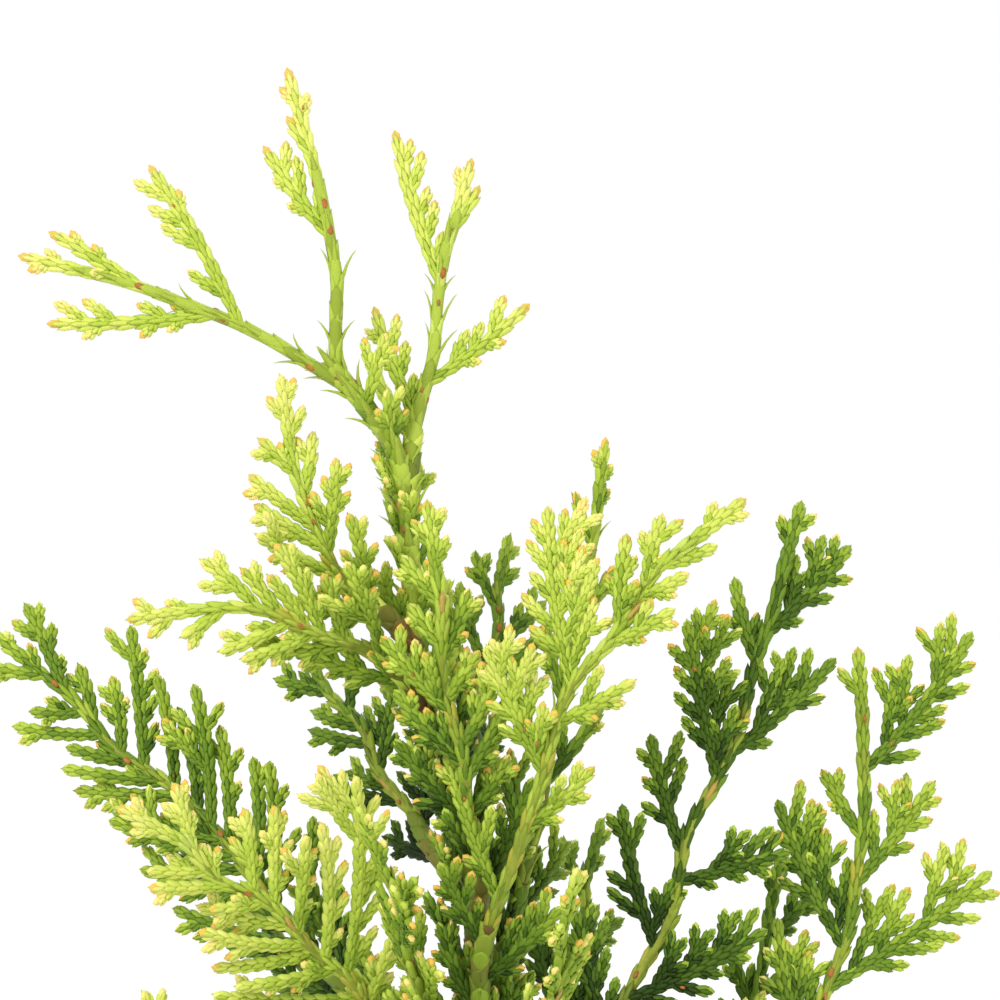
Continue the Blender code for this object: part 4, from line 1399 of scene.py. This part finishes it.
def make_soil(mottling):
    """Uneven top of the potting mix, closed into a plug inside the pot."""
    outer, level = SOIL_HIGH[0], SOIL_HIGH[2] - SOIL_BELOW
    shape = bmesh.new()
    loops = []
    for ring in range(1, SOIL_RINGS + 1):
        radius = outer * ring / SOIL_RINGS
        fade = min(1.0, max(0.0, (radius - SOIL_LEVEL_TO) / SOIL_FADES_OVER))
        drop = SOIL_FALL * MM * (radius / outer) ** 2
        loop = []
        for turn in round_turns(SOIL_STEPS):
            spot = Vector((radius * math.cos(turn), radius * math.sin(turn), 0.0))
            rise = noise.fractal(spot * SOIL_GRAIN, *SOIL_FRACTAL) * SOIL_ROUGH * MM
            rise += noise.noise(spot * SOIL_WAVES) * SOIL_ROLL * MM
            loop.append(shape.verts.new((spot.x, spot.y, level + rise * fade - drop * fade)))
        loops.append(loop)
    centre = shape.verts.new((0.0, 0.0, level))
    foot = shape.verts.new((0.0, 0.0, SOIL_LOW[2]))
    base = [shape.verts.new((vertex.co.x * SOIL_FOOT, vertex.co.y * SOIL_FOOT, SOIL_LOW[2]))
            for vertex in loops[-1]]
    for i in range(SOIL_STEPS):
        j = (i + 1) % SOIL_STEPS
        shape.faces.new((centre, loops[0][i], loops[0][j]))
        shape.faces.new((foot, base[j], base[i]))
        shape.faces.new((loops[-1][i], base[i], base[j], loops[-1][j]))
        for low, high in zip(loops, loops[1:]):
            shape.faces.new((low[i], high[i], high[j], low[j]))
    bmesh.ops.recalc_face_normals(shape, faces=shape.faces)
    mesh = mesh_of("potting_mix", shape)
    mesh.materials.append(mottled("potting mix", mottling))
    mesh.shade_smooth()
    return linked("potting_mix", mesh)


def scatter_crumbs(soil, count, sizes, flat, heaped, seed):
    """Crumbs and chips lying on the potting mix, a share of them heaped round the trunk's foot."""
    def cell(x, y):
        return round(x / CRUMB_CELL), round(y / CRUMB_CELL)

    rule = Rule(seed)
    heights = {}
    for vertex in soil.data.vertices:
        heights.setdefault(cell(vertex.co.x, vertex.co.y), vertex.co.z)
    crumbs = Leaves()
    outer = SOIL_HIGH[0] - CRUMBS_CLEAR
    while len(crumbs.spots) < count:
        turn = rule.uniform(0, 2 * math.pi)
        if rule.chance(heaped):
            radius = rule.within(HEAP)
        else:
            radius = math.sqrt(rule.uniform(CRUMBS_FROM ** 2, outer ** 2))
        x, y = radius * math.cos(turn), radius * math.sin(turn)
        height = heights.get(cell(x, y))
        if height is None:
            continue
        ahead = Vector((rule.stray(1), rule.stray(1), rule.stray(CRUMB_TILT))).normalized()
        off = square_on(ahead, UP + heading(rule.uniform(0, 360)) * rule.uniform(0, CRUMB_TURN))
        size = (sizes[0] + (sizes[1] - sizes[0]) * rule.random() ** CRUMB_POWER) * MM
        crumbs.add((x, y, height + size * CRUMB_RISE), ahead, off.cross(ahead),
                   (size, size * rule.within(CRUMB_WIDTHS),
                    size * flat * rule.within(CRUMB_DEPTHS)))
    return crumbs


def make_stage():
    """Plain pale floor that glows more the further out it lies."""
    shape = bmesh.new()
    bmesh.ops.create_circle(shape, cap_ends=True, segments=FLOOR_STEPS, radius=FLOOR_RADIUS)
    mesh = mesh_of("floor", shape)
    pale = plain("pale floor", (240, 240, 240), 0.8)
    tree = pale.node_tree
    place = node(tree, "ShaderNodeTexCoord")
    away = node(tree, "ShaderNodeVectorMath", operation="LENGTH")
    glow = node(tree, "ShaderNodeMapRange",
                {"From Min": 0.12, "From Max": 1.2, "To Min": 0.02, "To Max": FLOOR_GLOW})
    shader = tree.nodes["Principled BSDF"]
    shader.inputs["Emission Strength"].default_value = 1.0
    join(tree, (place, "Object", away, 0), (away, "Value", glow, "Value"),
         (glow, "Result", shader, "Emission Color"))
    mesh.materials.append(pale)
    linked("floor", mesh)


def aimed(name, data, spot, way):
    """Lamp or camera at a spot, facing this way."""
    made = linked(name, data)
    made.location = spot
    made.rotation_euler = way.to_track_quat("-Z", "Y").to_euler()
    return made


def make_lights():
    """Bright soft studio light from all round, with a stronger soft key from the upper left."""
    bpy.context.scene.view_settings.view_transform = "Standard"
    world = bpy.data.worlds.new("studio")
    bpy.context.scene.world = world
    world.use_nodes = True
    tree = world.node_tree
    seen = node(tree, "ShaderNodeLightPath")
    level = node(tree, "ShaderNodeMapRange", {"To Min": SOFT_LIGHT, "To Max": 1.0})
    sky = tree.nodes["Background"]
    sky.inputs["Color"].default_value = (1.0, 1.0, 1.0, 1.0)
    join(tree, (seen, "Is Camera Ray", level, "Value"), (level, "Result", sky, "Strength"))
    for name, spot, size, power in LAMPS:
        light = bpy.data.lights.new(name, "AREA")
        light.size = size
        light.energy = power
        aimed(name, light, spot, LIT_SPOT - Vector(spot))


def make_camera():
    """Nearly level camera on the crown's top, framed as in the photograph."""
    lens = bpy.data.cameras.new("camera")
    lens.sensor_width = SENSOR_WIDTH
    lens.lens = SENSOR_WIDTH * CAMERA_DISTANCE / PHOTO_WIDTH
    lens.clip_start = 0.01
    lens.clip_end = 50.0
    middle = Vector((PHOTO_CENTRE_X, 0.0, CAD_BOX[1][2] + TIP_BELOW_TOP - PHOTO_WIDTH / 2))
    tilt = math.radians(PHOTO_ELEVATION)
    away = Vector((0.0, -math.cos(tilt), math.sin(tilt)))
    bpy.context.scene.camera = aimed("camera", lens, middle + away * CAMERA_DISTANCE, -away)


def make_foliage(paths, line, mottling, tree):
    """Twigs and leaves of the whole crown, and the green stems that carry them."""
    foliage = Foliage()
    for twig in Crown(paths, line).twigs():
        foliage.dress_twig(twig)
    stems = Tubes()
    for path in paths:
        points, frames, radii = path.stem(STEM_STEPS)
        stems.add(points, frames, [radius * STEM_SLIMMER for radius in radii], STEM_SIDES)
        dress = foliage.dress_leading if path.leading else foliage.dress_stem
        dress(path.stem(STEM_LEAF_STEPS), path.green)
        if path.bare:
            begin = path.foot_radius / path.length
            foliage.dress_bough(path.line(begin, path.start, OLD_LEAF_STEPS), path.green,
                                *(OLD_ON_LEADING if path.leading else OLD_ON_BOUGHS))
    trunk = fine_trunk(line, TRUNK_LEAF_STEP)
    old, young = (sum(point.z < GROUND + height * MM for point in trunk[0])
                  for height in (OLD_LEAVES_FROM, GREEN_FROM))
    foliage.dress_leading([row[young:] for row in trunk], TRUNK_GREEN, OLD_PITCH)
    foliage.dress_bough([row[old:young] for row in trunk], TRUNK_OLD_GREEN, *OLD_ON_TRUNK)
    points, frames, radii = (row[young::TRUNK_STEM_EACH] for row in trunk)
    stems.add(points, frames, [radius * TRUNK_SLIMMER for radius in radii], STEM_SIDES)
    first, *rest = [name for name in frame["nodes"] if name.startswith("foliage_")]
    stem = stems.piece("green_stems", mottled("green stem", mottling))
    finish_piece(stem, "foliage", first, *rest)

    finishes = {kind: plain(f"{kind} leaf", colour, LEAF_ROUGHNESS, LEAF_GLOSS)
                for kind, colour in {**GREENS, **SHOOT_GREENS, **TINTS}.items()}
    for label, kinds, leaf in (("side_scales", foliage.sides, side_leaf_pattern()),
                               ("face_scales", foliage.faces, face_leaf_pattern()),
                               ("long_leaves", foliage.longs, long_leaf_pattern()),
                               ("tips", foliage.tips, tip_pattern())):
        for kind, leaves in sorted(kinds.items()):
            stand(f"{label}_{kind}", leaves, leaf, finishes[kind], tree, "foliage")
    stand("awls", foliage.awls, awl_pattern(), finishes["shoot"], tree, "foliage")
    stand("russet_spots", foliage.spots, tip_pattern(), mottled("russet spot", mottling), tree,
          "foliage")


def make_wood(paths, line, mottling):
    """Bark of the trunk and the boughs, with its relief."""
    trunk = fine_trunk(line, BARK_STEP)
    count = sum(point.z < GROUND + (GREEN_FROM + 1.0) * MM for point in trunk[0])
    bark = Tubes()
    bark.add(*(row[:count] for row in trunk), BARK_SIDES, BARK_RELIEF)
    finish_piece(bark.piece("bark_of_trunk", mottled("flaking bark", mottling)), "bark", "trunk")
    boughs = Tubes()
    for path in paths:
        if path.bare:
            begin = path.foot_radius * BOUGH_SUNK / path.length
            boughs.add(*path.line(begin, path.start + 0.01, BOUGH_STEPS), BOUGH_SIDES, BOUGH_RELIEF)
    finish_piece(boughs.piece("bark_of_boughs", mottled("young bark", mottling)), "twig",
                 *(name for name in frame["nodes"] if name.startswith("bough_")))


def make_pot_and_mix(mottling, tree):
    """The nursery pot, filled with potting mix that crumbs and chips lie on."""
    finish_piece(make_pot(mottling), "plastic", "pot")
    soil = make_soil(mottling)
    finish_piece(soil, "soil", "soil")
    for name, leaf, count, sizes, flat, heaped in (
            ("dark_crumbs", crumb_pattern(), 1900, (0.5, 1.7), 0.7, 0.07),
            ("bark_chips", chip_pattern(), 420, (1.2, 3.6), 0.35, 0.03),
            ("fibres", fibre_pattern(), 160, (3.0, 6.5), 1.0, 0.0),
            ("pale_grains", crumb_pattern(), 60, (0.8, 1.7), 0.8, 0.0)):
        finish = mottled(name.replace("_", " "), mottling)
        crumbs = scatter_crumbs(soil, count, sizes, flat, heaped, name)
        stand(name, crumbs, leaf, finish, tree, "soil")


def main():
    """Dress the whole frame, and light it."""
    line = trunk_line()
    paths = [Path(row, line) for row in (LEADER, *SEEN_BOUGHS, *low_rows())]
    tree = standing_nodes()
    mottling = mottle_group()
    make_foliage(paths, line, mottling, tree)
    make_wood(paths, line, mottling)
    make_pot_and_mix(mottling, tree)
    make_stage()
    make_lights()
    make_camera()


main()
